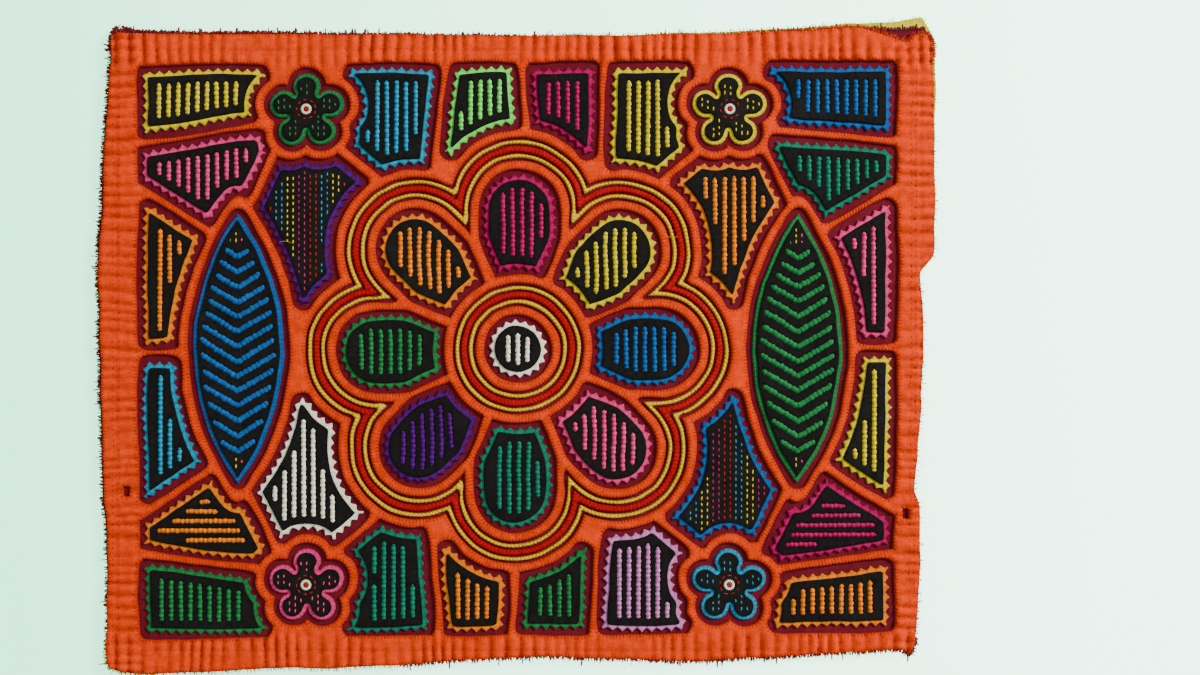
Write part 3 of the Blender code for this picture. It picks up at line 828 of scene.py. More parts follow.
# Sewing
class Sewing:
    """Many small stitches of one thread, kept as one mesh."""

    def __init__(self, dye: Dye) -> None:
        """Args:
            dye: The cloth that the thread goes with.
        """
        self.dye = dye
        self.template_points, self.template_faces = self.one_stitch(4)
        self.starts: list[tuple] = []
        self.ends: list[tuple] = []
        self.radii: list[float] = []

    @staticmethod
    def one_stitch(sides: int) -> tuple[np.ndarray, list]:
        """A stitch about the middle, with a half length and a radius of one, modelled once.

        Args:
            sides: How many sides it has.

        Returns:
            Its points and faces.
        """
        bpy.ops.object.select_all(action="DESELECT")
        bpy.ops.mesh.primitive_uv_sphere_add(segments=sides, ring_count=3, radius=1.0)
        ball = bpy.context.object
        points = np.array([v.co for v in ball.data.vertices])
        faces = [tuple(p.vertices) for p in ball.data.polygons]
        mesh = ball.data
        bpy.data.objects.remove(ball)
        bpy.data.meshes.remove(mesh)
        widest = 0.92
        points[:, :2] = np.sign(points[:, :2]) * np.abs(points[:, :2]) ** widest
        return points, faces

    def add(self, start: tuple, end: tuple, radius: float) -> None:
        """Lays one stitch between two places."""
        self.starts.append(tuple(start))
        self.ends.append(tuple(end))
        self.radii.append(radius)

    def strand(self, path: list[tuple], radius: float) -> None:
        """Lays one loose thread along a path, in short lengths that overlap."""
        overlap = 0.25
        for a, b in zip(np.array(path[:-1]), np.array(path[1:])):
            self.add(a - overlap * (b - a), b + overlap * (b - a), radius)

    def build(self) -> bpy.types.Object:
        """Joins all the stitches into one piece."""
        start, end = np.array(self.starts), np.array(self.ends)
        radius = np.array(self.radii)[:, None]
        middle, run = (start + end) / 2, (end - start) / 2
        half = np.linalg.norm(run, axis=1)[:, None]
        ahead = run / np.maximum(half, 1e-9)
        up = np.array([0.0, 0.0, 1.0])
        side = np.cross(up, ahead)
        side = side / np.maximum(np.linalg.norm(side, axis=1)[:, None], 1e-9)
        over = np.cross(ahead, side)
        t = self.template_points
        points = (
            middle[:, None, :]
            + t[None, :, 2, None] * (ahead * half)[:, None, :]
            + t[None, :, 0, None] * (side * radius)[:, None, :]
            + t[None, :, 1, None] * (over * radius)[:, None, :]
        ).reshape(-1, 3)
        faces = []
        for k in range(len(start)):
            shift = k * len(t)
            faces += [tuple(shift + c for c in face) for face in self.template_faces]
        piece = add_object(self.dye.value.name + "_thread", points, faces)
        piece.data.shade_smooth()
        colour = tuple(THREAD_SHADES.get(self.dye, 1.0) * c for c in self.dye.value.colour)
        piece.data.materials.append(Thread(self.dye.value.name, colour).material())
        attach(piece, BODY)
        LOG.info("%s made of %d stitches", piece.name, len(start))
        return piece

    def overcast(self, loop: Loop, pitch: float, inner: float, outer: float, high: float, low: float,
                 radius: float, seed: int, slant: float = 0.35) -> None:
        """Sews small slanting stitches over an edge.

        Args:
            loop: The edge, with the cloth on its left.
            pitch: Distance between stitches.
            inner: How far each stitch reaches onto the cloth.
            outer: How far it reaches past the edge.
            high: Height where it enters the cloth.
            low: Height where it enters the cloth below.
            radius: Half the thread's thickness.
            seed: Fixes the unevenness.
            slant: How far its foot leans along the edge.
        """
        rng = random.Random(seed)
        points, left = evenly(loop, pitch)
        for point, side in zip(points, left):
            along = np.array([side[1], -side[0]])
            shift = rng.uniform(-0.3, 0.3) * pitch
            reach = inner * rng.uniform(0.7, 1.25)
            foot = outer * rng.uniform(0.6, 1.3)
            a = point + along * shift + side * reach
            b = point + along * (shift + slant * rng.uniform(0.5, 1.5)) - side * foot
            rise = rise_at(point)
            self.add((*a, high + rise), (*b, low + rise), radius * rng.uniform(0.85, 1.2))

    def running(self, path: np.ndarray, dash: float, gap: float, height: Relief, radius: float,
                seed: int) -> None:
        """Sews a running stitch along an open path.

        Args:
            path: Plan points.
            dash: Length of a stitch.
            gap: Distance between stitches.
            height: Gives the height of the cloth at any place.
            radius: Half the thread's thickness.
            seed: Fixes the unevenness.
        """
        rng = random.Random(seed)
        run = run_along(path)
        at = rng.uniform(0.0, gap)
        while at + dash < run[-1]:
            long = dash * rng.uniform(0.8, 1.2)
            wander = rng.uniform(-0.15, 0.15)
            x = np.interp((at, at + long), run, path[:, 0]) + (wander, -wander)
            y = np.interp((at, at + long), run, path[:, 1]) + (wander, -wander)
            z = height(x, y)
            self.add((x[0], y[0], z[0]), (x[1], y[1], z[1]), radius)
            at += long + gap * rng.uniform(0.8, 1.25)


def rise_at(point: np.ndarray) -> float:
    """How far the cloths stand off the table at one plan point."""
    return float(lie(np.array([point[0]]), np.array([point[1]]))[0])


def runs_of(clear: np.ndarray) -> list[tuple[int, int]]:
    """First and last index of every unbroken run of true values."""
    edges = np.flatnonzero(np.diff(np.concatenate([[False], clear, [False]]).astype(int)))
    return list(zip(edges[::2], edges[1::2] - 1))


class ThreadBox:
    """Every thread of the panel, one piece for each dye."""

    def __init__(self) -> None:
        """Starts with no thread."""
        self.sewing: dict[str, Sewing] = {}

    def of(self, dye: Dye) -> Sewing:
        """The sewing in a dye's thread."""
        if dye.name not in self.sewing:
            self.sewing[dye.name] = Sewing(dye)
        return self.sewing[dye.name]

    def build(self) -> list:
        """Makes the pieces."""
        return [sewing.build() for sewing in self.sewing.values() if sewing.starts]


def bar_mesh(path: np.ndarray, width: float, low: float, high: float, waist: float,
             seed: int) -> tuple[np.ndarray, list, np.ndarray]:
    """A bar of cloth that swells through a slit, pinched into beads by the stitches along it.

    Args:
        path: Its middle line in plan.
        width: Its usual width.
        low: Height of its foot.
        high: Height of its ridge.
        waist: Its width between two beads, as a share.
        seed: Fixes the unevenness.

    Returns:
        Points and faces of a closed form, and a shade for each point.
    """
    rng = random.Random(seed)
    step, rounded_end = 0.6, 1.7
    run = run_along(path)
    count = max(6, round(run[-1] / step))
    at = run[-1] * np.arange(count + 1) / count
    line = values_at(at, run, path)
    ahead = np.gradient(line, axis=0)
    ahead = ahead / np.maximum(np.hypot(*ahead.T)[:, None], 1e-9)
    side = np.stack([-ahead[:, 1], ahead[:, 0]], axis=1)
    rise = lie(line[:, 0], line[:, 1])
    section = ((-0.5, 0.0), (-0.46, 0.6), (0.0, 1.0), (0.46, 0.6), (0.5, 0.0))
    bead = (0.98, 1.05, 1.0, waist)
    points, shades = [], []
    for k in range(count + 1):
        end = min(1.0, min(k, count - k) / rounded_end)
        swell = 0.3 + 0.7 * math.sqrt(end)
        tight = bead[k % len(bead)] * rng.uniform(0.91, 1.07)
        lean = 0.08 * width * (1 if (k // len(bead)) % 2 else -1)
        for across, up in section:
            plan = line[k] + side[k] * (across * width * swell * tight + lean * up * swell)
            height = low + (high - low) * up * (0.4 + 0.6 * swell) * tight
            points.append((plan[0], plan[1], height + rise[k]))
            # Painted shade: darkest at the beads' waists, dark along the bar's foot.
            shades.append(float(np.clip(5.0 * tight - 4.05, 0.0, 1.0)) if up else 0.2)
    n = len(section)
    faces = [tuple(range(n)), tuple(count * n + j for j in reversed(range(n)))]
    for k in range(count):
        for j in range(n):
            a, b = k * n + j, k * n + (j + 1) % n
            faces.append((a, a + n, b + n, b))
    return np.array(points), faces, np.array(shades)


def sawtooth(loop: Loop, pitch: float, valley: float, tip: float, seed: int) -> Loop:
    """An outline with hand-cut teeth round it.

    Args:
        loop: The plain outline, anticlockwise.
        pitch: Distance between teeth.
        valley: How far the valleys lie inside it.
        tip: How far the tips stand outside it.
        seed: Fixes the unevenness.

    Returns:
        The toothed outline.
    """
    rng = random.Random(seed)
    shape = (0.0, 0.2, 0.62, 1.0, 0.64, 0.24)
    points, left = evenly(loop, pitch / len(shape))
    made = []
    tooth = rng.uniform(0.8, 1.15)
    for k, (point, side) in enumerate(zip(points, left)):
        part = k % len(shape)
        if part == 0:
            tooth = rng.uniform(0.75, 1.15)
        out = -valley + (valley + tip) * shape[part] * tooth
        made.append(point - side * (out + rng.uniform(-0.05, 0.05)))
    return np.array(made)


class Slits(Enum):
    """How the slits of a black patch run."""

    UPRIGHT = "upright"
    LEVEL = "level"
    NONE = "none"


@dataclass
class Window:
    """One window: an insert, a black patch on it, and the insert showing through slits.

    Attributes:
        name: What its nodes are called.
        levels: Heights of the layers.
        threads: Where its stitches go.
        seed: Fixes its unevenness.
        slits: How slits run that the solids don't have.
        toothed: Whether the insert has teeth.
        rim: Width of the insert that shows round the patch.
        bar_width: Width of the bars.
        waist: Width of a bar between two beads, as a share.
        slit_width: Width of the slits that are cut here.
        slit_pitch: Distance from one slit to the next.
        slit_margin: Cloth left between a slit and the patch's edge.
        shortest_slit: Length below which no slit is cut.
        row_pitch: Distance between rows of running stitch.
        row_room: Cloth left round them.
        dashes: Threads of its rows of running stitches, in turn.
        eyed: Whether a round eye is embroidered in its middle.
        eye_room: Radius round the eye without other stitches.
    """

    name: str
    levels: Levels
    threads: ThreadBox
    seed: int
    slits: Slits = Slits.UPRIGHT
    toothed: bool = True
    rim: float = 2.4
    bar_width: float = 2.45
    waist: float = 0.82
    slit_width: float = 2.1
    slit_pitch: float = 4.9
    slit_margin: float = 2.4
    shortest_slit: float = 4.0
    row_pitch: float = 2.9
    row_room: float = 1.5
    dashes: tuple[Dye, ...] = ()
    eyed: bool = False
    eye_room: float = 6.4

    def insert_loop(self) -> Loop:
        """Outline of the insert's solid, finely spaced."""
        return by_hand(resampled(node_loops(self.name + "_insert")[0], 1.2))

    def patch_loops(self, insert: Loop) -> list[Loop]:
        """Outline of the black patch and of its slits."""
        node = self.name + "_patch"
        if node in frame["nodes"]:
            outer, *slits = node_loops(node)
            return [by_hand(resampled(outer, 1.2))] + [by_hand(resampled(s, 1.0, 0.5, 1.0)) for s in slits]
        outer = inset(insert, self.rim)
        return [outer] + self.cut_slits(outer)

    def cut_slits(self, outer: Loop) -> list[Loop]:
        """Slits side by side wherever the patch has room for them."""
        if self.slits is Slits.NONE:
            return []
        finder = EdgeFinder([outer])
        upright = self.slits is Slits.UPRIGHT
        low, high = corners_of(outer)
        across_axis, along_axis = (0, 1) if upright else (1, 0)
        along = np.arange(low[along_axis], high[along_axis], 0.5)
        room = high[across_axis] - low[across_axis]
        count = int(room / self.slit_pitch)
        middle = (low[across_axis] + high[across_axis]) / 2
        rng = random.Random(self.seed)
        found = []
        for k in range(count + 1):
            across = middle + (k - count / 2) * self.slit_pitch
            line = np.zeros((len(along), 2))
            line[:, across_axis] = across
            line[:, along_axis] = along
            clear = finder.signed(line) < -(self.slit_margin + self.slit_width / 2)
            for first, last in runs_of(clear):
                if along[last] - along[first] > self.shortest_slit:
                    lean = rng.uniform(-0.35, 0.35)
                    found.append(self.one_slit(across, along[first], along[last], lean, upright))
        return found

    def one_slit(self, across: float, start: float, end: float, lean: float, upright: bool) -> Loop:
        """A narrow slit with pointed ends.

        Args:
            across: Its place across the slits.
            start: Where it starts along them.
            end: Where it ends.
            lean: How far its end lies to one side of its start.
            upright: Whether it runs up the panel and not along it.

        Returns:
            Its outline, clockwise.
        """
        half = tip = self.slit_width / 2
        shape = [(-half, start + tip), (0, start), (half, start + tip),
                 (half, end - tip), (0, end), (-half, end - tip)]
        middle = (start + end) / 2
        points = []
        for off, along in shape:
            sideways = across + off + lean * (along - middle) / max(end - start, 1.0)
            points.append((sideways, along) if upright else (along, sideways))
        return turned(resampled(np.array(points, dtype=float), 1.0, 0.5, 1.0), False)

    @staticmethod
    def middle_line(slit: Loop) -> np.ndarray:
        """Middle line of a slit or chevron, from tip to tip."""
        centre = slit.mean(axis=0)
        _, _, axes = np.linalg.svd(slit - centre)
        local = (slit - centre) @ axes.T
        after = np.roll(local, -1, axis=0)
        low, high = local[:, 0].argmin(), local[:, 0].argmax()
        count = max(5, 2 * round((local[high, 0] - local[low, 0]) / 2.0) + 1)
        line = [local[low]]
        for at in np.linspace(local[low, 0], local[high, 0], count)[1:-1]:
            spans = (local[:, 0] > at) != (after[:, 0] > at)
            share = (at - local[spans, 0]) / (after[spans, 0] - local[spans, 0])
            across = local[spans, 1] + share * (after[spans, 1] - local[spans, 1])
            line.append(np.array([at, (across.min() + across.max()) / 2]))
        line.append(local[high])
        return np.array(line) @ axes + centre

    def bars(self, slits: list[Loop]) -> tuple[np.ndarray, list, np.ndarray]:
        """The insert's cloth where it swells through the slits.

        Args:
            slits: The patch's slits.

        Returns:
            Points, faces and shades of all the bars.
        """
        sunk, proud = 0.35, 0.4
        low = self.levels.insert_top - sunk
        high = self.levels.patch_top + proud
        points, faces, shades, shift = [np.empty((0, 3))], [], [np.empty(0)], 0
        for k, slit in enumerate(slits):
            bar, bar_faces, bar_shades = bar_mesh(
                self.middle_line(slit), self.bar_width, low, high, self.waist, self.seed * 50 + k)
            faces += [tuple(shift + c for c in face) for face in bar_faces]
            points.append(bar)
            shades.append(bar_shades)
            shift += len(bar)
        return np.vstack(points), faces, np.concatenate(shades)

    def face(self, x: np.ndarray, y: np.ndarray) -> np.ndarray:
        """Height at which a stitch lies on the black patch."""
        clear = 0.03
        return self.levels.patch_top + clear + lie(x, y)

    def running_rows(self, patch: list[Loop]) -> None:
        """Rows of running stitch on the free parts of the patch."""
        finder = EdgeFinder(patch)
        low, high = corners_of(patch[0])
        middle = (low + high) / 2
        dash, gap, radius = 2.0, 1.2, 0.4
        for k, x in enumerate(np.arange(low[0], high[0], self.row_pitch)):
            y = np.arange(low[1], high[1], 0.4)
            line = np.stack([np.full(len(y), x), y], axis=1)
            clear = finder.signed(line) < -self.row_room
            if len(patch) > 1:
                slits = np.vstack(patch[1:])[:, 1]
                clear &= (y < slits.min() - self.row_room) | (y > slits.max() + self.row_room)
            if self.eyed:
                clear &= np.hypot(*(line - middle).T) > self.eye_room
            dye, seed = self.dashes[k % len(self.dashes)], self.seed * 90 + k
            for first, last in runs_of(clear):
                self.threads.of(dye).running(line[first:last + 1], dash, gap, self.face, radius, seed)

    def eye(self, middle: np.ndarray) -> None:
        """A round eye: a red dot, a white ring and a ring of red dashes."""
        spokes = ((Dye.RED, 8, 0.0, 1.3, 0.5), (Dye.WHITE, 18, 1.3, 2.9, 0.42))
        for dye, count, near, far, radius in spokes:
            for k in range(count):
                angle = math.tau * k / count
                ahead = np.array([math.cos(angle), math.sin(angle)])
                a, b = middle + ahead * near, middle + ahead * far
                z = self.face(*a) + 0.1
                self.threads.of(dye).add((*a, z), (*b, z - 0.1), radius)
        ring_radius, dash, gap, radius = 4.9, 2.1, 1.3, 0.36
        turn = np.linspace(0.0, math.tau, 40)
        ring = middle + ring_radius * np.stack([np.cos(turn), np.sin(turn)], axis=1)
        self.threads.of(Dye.RED).running(ring, dash, gap, self.face, radius, self.seed)

    def build(self) -> None:
        """Makes the insert with its bars, the patch and its stitches."""
        insert = self.insert_loop()
        patch = self.patch_loops(insert)
        levels = self.levels
        edge = sawtooth(insert, pitch=5.0, valley=1.05, tip=0.95, seed=self.seed) if self.toothed else insert
        colour = dye_of(self.name + "_insert")
        sheet = Sheet(self.name + "_insert_cloth", [edge], levels.inlay_bottom, levels.insert_top, turn=0.5,
                      cell=2.6, pinch=0.05)
        dressed(sheet.build(*self.bars(patch[1:])), colour, (self.name + "_insert",))
        sheet.declare()
        black = Sheet(self.name + "_patch_cloth", patch, levels.patch_bottom, levels.patch_top, turn=0.55,
                      cell=1.9, pinch=0.1, relief=lambda x, y: 0.16 * ripple(x, y, 5.0, 61))
        node = self.name + "_patch"
        dressed(black.build(), Dye.BLACK, (node,) if node in frame["nodes"] else ())
        black.declare()
        if not self.toothed:
            high, foot = levels.insert_top + 0.05, levels.middle_top + 0.2
            self.threads.of(colour).overcast(edge, pitch=1.8, inner=0.9, outer=0.3, high=high, low=foot,
                                             radius=0.17, seed=self.seed)
        if self.dashes:
            self.running_rows(patch)
        if self.eyed:
            low, high = corners_of(patch[0])
            self.eye((low + high) / 2)


@dataclass
class EchoChannel:
    """The yellow, red and yellow strips of one closed channel.

    Attributes:
        prefix: Start of the strips' node names.
        levels: Heights of the layers.
        threads: Where the stitches go.
        seed: Fixes the unevenness.
        yellow_rise: How far a yellow strip stands above the inserts.
        red_rise: How far the red strip does.
        yellow_pinch: How far the stitches pull a yellow strip's edges down.
        red_pinch: How far they pull the red one's.
    """

    prefix: str
    levels: Levels
    threads: ThreadBox
    seed: int
    yellow_rise: float = 0.4
    red_rise: float = 0.05
    yellow_pinch: float = 0.34
    red_pinch: float = 0.1

    def build(self) -> list:
        """Makes the three strips and their stitches, and returns the strips."""
        made = []
        foot = self.levels.middle_top + 0.15
        for k, kind in enumerate(("inner_strip", "red_strip", "outer_strip")):
            node = f"{self.prefix}_{kind}"
            dye = dye_of(node)
            is_red = dye is Dye.RED
            loops = [sewn(loop, 1.0) for loop in node_loops(node)]
            top = self.levels.insert_top + (self.red_rise if is_red else self.yellow_rise)
            pinch = self.red_pinch if is_red else self.yellow_pinch
            sheet = Sheet(node + "_cloth", loops, self.levels.inlay_bottom, top, turn=0.75, cell=1.6,
                          pinch=pinch)
            made.append(dressed(sheet.build(), dye, (node,)))
            for j, loop in enumerate(loops):
                self.threads.of(dye).overcast(loop, pitch=2.0, inner=0.5, outer=0.3, high=top - 0.1, low=foot,
                                              radius=0.16, seed=self.seed * 10 + k * 2 + j)
        return made


@dataclass
class TopCloth:
    """The orange cloths: the ground with its windows, and the islands inside the closed channels.

    Attributes:
        levels: Heights of the layers.
        threads: Where the stitches go.
        pucker_height: Height of the border's puckers.
        pucker_pitch_x: Distance between puckers along the top and bottom borders.
        pucker_pitch_y: Distance between puckers up the side borders.
        pucker_fade_x: Distance over which the side borders' puckers die out.
        pucker_fade_y: Distance over which the other borders' puckers do.
        hem_depth: Depth of the pressed hem lines.
        hem_width: Their half width.
        sides: Place across the panel of the left and right hem lines.
        ends: Place up the panel of the top and bottom ones.
        pleat_at: Place up the panel of the short pleat at the right edge.
        corners: Plan corners of the patterned field.
        size: Width and length of the cut.
        pieces: The cloths, the ground first.
        areas: Their areas.
    """

    levels: Levels
    threads: ThreadBox
    pucker_height: float = 2.1
    pucker_pitch_x: float = 6.2
    pucker_pitch_y: float = 5.8
    pucker_fade_x: float = 4.0
    pucker_fade_y: float = 6.0
    hem_depth: float = 0.28
    hem_width: float = 0.8
    sides: tuple[float, float] = (-204.6, 206.4)
    ends: tuple[float, float] = (150.9, -156.0)
    pleat_at: float = -31.0
    corners: tuple = field(init=False, default=())
    size: tuple = field(init=False, default=())
    pieces: list = field(init=False, default_factory=list)
    areas: list = field(init=False, default_factory=list)

    def border(self) -> tuple[np.ndarray, np.ndarray]:
        """Plan corners of the patterned field, from the windows of the top cloth."""
        return corners_of(np.vstack(node_loops("top_cloth")[1:]))

    def relief(self, x: np.ndarray, y: np.ndarray) -> np.ndarray:
        """Puckers across the border, pressed hem lines, and soft unevenness all over.

        Args:
            x: Plan places along the panel.
            y: Plan places up the panel.

        Returns:
            The height added at each place.
        """
        low, high = self.corners
        past_side = np.clip(1.0 + np.maximum(low[0] - x, x - high[0]) / self.pucker_fade_x, 0.0, 1.0)
        past_end = np.clip(1.0 + np.maximum(low[1] - y, y - high[1]) / self.pucker_fade_y, 0.0, 1.0)
        run_x = x + 0.9 * ripple(x, y, 45.0, 22) + 2.4 * ripple(x, np.zeros_like(y), 30.0, 27)
        run_y = y + 0.8 * ripple(x, y, 45.0, 23) + 2.2 * ripple(np.zeros_like(x), y, 28.0, 28)
        puff_up = np.abs(np.sin(math.pi * run_x / self.pucker_pitch_x)) ** 0.7 - 0.66
        puff_across = np.abs(np.sin(math.pi * run_y / self.pucker_pitch_y)) ** 0.7 - 0.66
        puckers = past_end * puff_up * (0.6 + 0.5 * ripple(x, y, 46.0, 21))
        puckers = puckers + past_side * puff_across * (0.55 + 0.4 * ripple(x, y, 38.0, 26))
        hems = np.zeros_like(puckers)
        lines = [(x, place) for place in self.sides] + [(y, place) for place in self.ends]
        for value, line in lines:
            hems = hems - self.hem_depth * np.exp(-(((value - line) / self.hem_width) ** 2))
        pleat = -0.5 * np.exp(-(((y - self.pleat_at) / 1.1) ** 2)) * np.clip((x - 196.0) / 4.0, 0.0, 1.0)
        unevenness = 0.12 * ripple(x, y, 9.0, 24) + 0.07 * ripple(x, y, 4.2, 25)
        return self.pucker_height * puckers + hems + pleat + unevenness

    def surface(self, x: np.ndarray, y: np.ndarray) -> np.ndarray:
        """Height of the cloth's face."""
        return self.levels.top_face + self.relief(x, y) + lie(x, y)

    def loops_of(self, node: str) -> list[Loop]:
        """A cloth's outlines, with the two small slits of the ground's border."""
        stitch = 0.85
        loops = [sewn(loop, stitch) for loop in node_loops(node)]
        if node == "top_cloth":
            half_size = np.array([1.5, 2.4])
            corners = np.array([(-1, -1), (-1, 1), (1, 1), (1, -1)]) * half_size
            for centre in ((-199.5, -74.7), (198.5, -86.5)):
                loops.append(sewn(corners + np.array(centre), stitch))
        return loops

    def sew(self, loops: list[Loop], raw: bool, seed: int) -> None:
        """Overcasts a cloth's edges, with the same thread showing below.

        Args:
            loops: The cloth's outlines.
            raw: Whether the outer edge is left unsewn.
            seed: Fixes the unevenness.
        """
        thread = self.threads.of(Dye.ORANGE)
        foot = self.levels.middle_top + 0.3
        for j, loop in enumerate(loops[1:] if raw else loops):
            thread.overcast(loop, pitch=1.7, inner=1.1, outer=0.35, high=self.levels.top_face + 0.08,
                            low=foot, radius=0.19, seed=seed + j)
            below = np.vstack([loop, loop[:1]])
            thread.running(below, dash=1.3, gap=1.9, height=lambda x, y: lie(x, y) - 0.02, radius=0.13,
                           seed=seed + j)

    def hem_rows(self) -> None:
        """Rows of small stitches down the sides and along the pressed lines."""
        thread = self.threads.of(Dye.ORANGE)
        edge = EdgeFinder([sewn(node_loops("top_cloth")[0], 0.7)])
        margin = 1.6
        top, bottom = self.ends
        rows = (
            ((-206.3, -150), (-205.6, 150)),
            ((-203.2, -150), (-202.6, 151)),
            ((203.0, -150), (204.4, 148)),
            ((200.6, -150), (201.9, 140)),
            ((-200, top), (200, top)),
            ((-200, bottom), (196, bottom)),
        )
        for k, (start, end) in enumerate(rows):
            share = np.linspace(0.0, 1.0, 60)[:, None]
            path = by_hand(np.array(start) + share * (np.array(end) - np.array(start)))
            on_cloth = edge.signed(path) < -margin
            thread.running(path[on_cloth], dash=1.5, gap=1.3, height=self.surface, radius=0.2, seed=700 + k)

    def build(self) -> None:
        """Makes the three orange cloths, cut from one, and sews them."""
        self.corners = self.border()
        cells = {"top_cloth": 1.15, "flower_ground": 1.5, "heart_ground": 1.5}
        for k, (node, cell) in enumerate(cells.items()):
            loops = self.loops_of(node)
            sheet = Sheet(node + "_sheet", loops, self.levels.inlay_bottom, self.levels.top_face, turn=0.8,
                          cell=cell, relief=self.relief, pinch=0.5)
            self.pieces.append(dressed(sheet.build(), Dye.ORANGE, (node,)))
            self.areas.append(sheet.flat_area())
            if k == 0:
                self.size = sheet.flat_size()
            self.sew(loops, k == 0, 1000 * (k + 1))
        self.hem_rows()

    def declare(self, threads: list) -> None:
        """Does nothing."""


@dataclass
class UnderCloths:
    """The maroon middle cloth and the yellow backing.

    Attributes:
        levels: Heights of the layers.
        turn: Radius of their edges.
        pinch: How far stitches pull their edges down.
    """

    levels: Levels
    turn: float = 0.4
    pinch: float = 0.03

    def build(self, strips: list) -> None:
        """Makes both cloths.

        Args:
            strips: The narrow strips that are sewn to the middle cloth; not used.
        """
        middle_loops, backing_loops = (
            [by_hand(resampled(loop, 1.6)) for loop in node_loops(node)]
            for node in ("middle_cloth", "backing_cloth"))
        middle = Sheet("middle_cloth_sheet", middle_loops, self.levels.middle_bottom, self.levels.middle_top,
                       turn=self.turn, cell=4.0, pinch=self.pinch,
                       relief=lambda x, y: 0.08 * ripple(x, y, 7.0, 31))
        dressed(middle.build(), Dye.MAROON, ("middle_cloth",))
        middle.declare(strips)
        backing = Sheet("backing_cloth_sheet", backing_loops, 0.0, self.levels.backing_top, turn=self.turn,
                        cell=5.0, pinch=self.pinch)
        dressed(backing.build(), Dye.BACKING, ("backing_cloth",))
        backing.declare()


@dataclass(frozen=True)
class Fringe:
    """Frayed threads along a cloth's cut edge.

    Attributes:
        node: The cloth's solid.
        dye: Its dye.
        height: Height of the threads.
        chance: How likely a thread is at a place.
        seed: Fixes the unevenness.
        radius: Usual radius of a thread.
        long: Usual greatest length.
    """

    node: str
    dye: Dye
    height: float
    chance: Callable[[float, float], float]
    seed: int
    radius: float = 0.15
    long: float = 2.0


@dataclass
class RawEdges:
    """Frayed threads at the cut edges, a tuft at one corner, and two loose thread ends.

    Attributes:
        levels: Heights of the layers.
        threads: Where the threads go.
        spacing: Distance between places for a thread.
        tuft: Plan place of the tuft.
        tuft_threads: How many threads it has.
        loose_ends: Plan place and bend of each loose end.
    """

    levels: Levels
    threads: ThreadBox
    spacing: float = 0.42
    tuft: tuple[float, float] = (200.6, -156.6)
    tuft_threads: int = 36
    loose_ends: tuple = ((-117.2, 52.5, 0.9), (78.5, 56.7, -1.1))

    def fringes(self) -> tuple[Fringe, ...]:
        """Where each cloth frays: most at the left, the top and the bottom right."""
        middle, face = self.levels.middle_top, self.levels.top_face

        def worn(x: float, y: float) -> float:
            if (y > 150 and x < 20) or (x < -200 and y > -30) or (y < -150 and x > 90):
                return 0.97
            return 0.6 if y > 150 or x < -200 else 0.1

        def top_line(x: float, y: float) -> float:
            if y > 150 and x < 10:
                return 0.95
            return 0.7 if y > 150 and x > 120 else 0.0

        maroon = ("middle_cloth", Dye.MAROON)
        orange = ("top_cloth", Dye.ORANGE)
        yellow = ("backing_cloth", Dye.BACKING)
        return (
            Fringe(*maroon, middle - 0.3, lambda x, y: 0.15, 5),
            Fringe(*maroon, middle - 0.2, worn, 51, 0.32, 2.1),
            Fringe(*maroon, middle, top_line, 52, 0.55, 2.2),
            Fringe(*maroon, middle, lambda x, y: 0.85 if y < -150 and x > -60 else 0.0, 53, 0.42, 3.0),
            Fringe(*orange, face - 0.5, lambda x, y: 0.85 if y < -150 else 0.25, 6),
            Fringe(*orange, face - 0.6, lambda x, y: 0.9 if y > 145 and x > 130 else 0.0, 61, 0.3, 2.3),
            Fringe(*yellow, 0.6, lambda x, y: 0.5 if y > 150 and x > 0 else 0.1, 7),
            Fringe(*yellow, 0.9, lambda x, y: 0.9 if y < -145 and x < -185 else 0.0, 71, 0.3, 3.4),
        )

    def fray(self, fringe: Fringe) -> None:
        """Lets threads stand out of a cloth's edge."""
        rng = random.Random(fringe.seed)
        lowest = 0.15
        points, left = evenly(by_hand(resampled(node_loops(fringe.node)[0], 1.6)), self.spacing)
        for point, side in zip(points, left):
            if rng.random() > fringe.chance(*point):
                continue
            along = np.array([side[1], -side[0]])
            reach = fringe.long * rng.uniform(0.3, 1.0) * (1.9 if rng.random() < 0.06 else 1.0)
            end = point - side * reach + along * rng.uniform(-0.9, 0.9)
            start = point + side * 0.7
            z = fringe.height + rise_at(point)
            foot = max(lowest, z - rng.uniform(0.0, 0.6))
            self.threads.of(fringe.dye).add((*start, z), (*end, foot), fringe.radius * rng.uniform(0.7, 1.3))

    def lay_tuft(self) -> None:
        """Lays a tuft of frayed maroon threads at the bottom right corner."""
        rng = random.Random(8)
        corner = np.array(self.tuft)
        for _ in range(self.tuft_threads):
            angle = math.radians(rng.uniform(-110, -10))
            end = corner + rng.uniform(2.0, 4.6) * np.array([math.cos(angle), math.sin(angle)])
            start = corner + np.array([rng.uniform(-1.6, 1.6), rng.uniform(-0.6, 1.6)])
            self.threads.of(Dye.MAROON).add((*start, 3.4), (*end, rng.uniform(1.0, 3.2)), 0.16)

    def lay_loose_ends(self) -> None:
        """Lays two loose ends of yellow thread on the orange cloth."""
        long, radius = 7.2, 0.13
        height = self.levels.top_face + 0.9
        for x, y, bend in self.loose_ends:
            path = []
            for t in np.linspace(0.0, 1.0, 12):
                across = y + bend * math.sin(math.pi * t) - 1.2 * t
                path.append((x + long * (t - 0.5), across, height + 0.5 * math.sin(5 * t)))
            self.threads.of(Dye.STRIP).strand(path, radius)

    def build(self) -> None:
        """Makes the frayed edges, the tuft and the loose ends."""
        for fringe in self.fringes():
            self.fray(fringe)
        self.lay_tuft()
        self.lay_loose_ends()


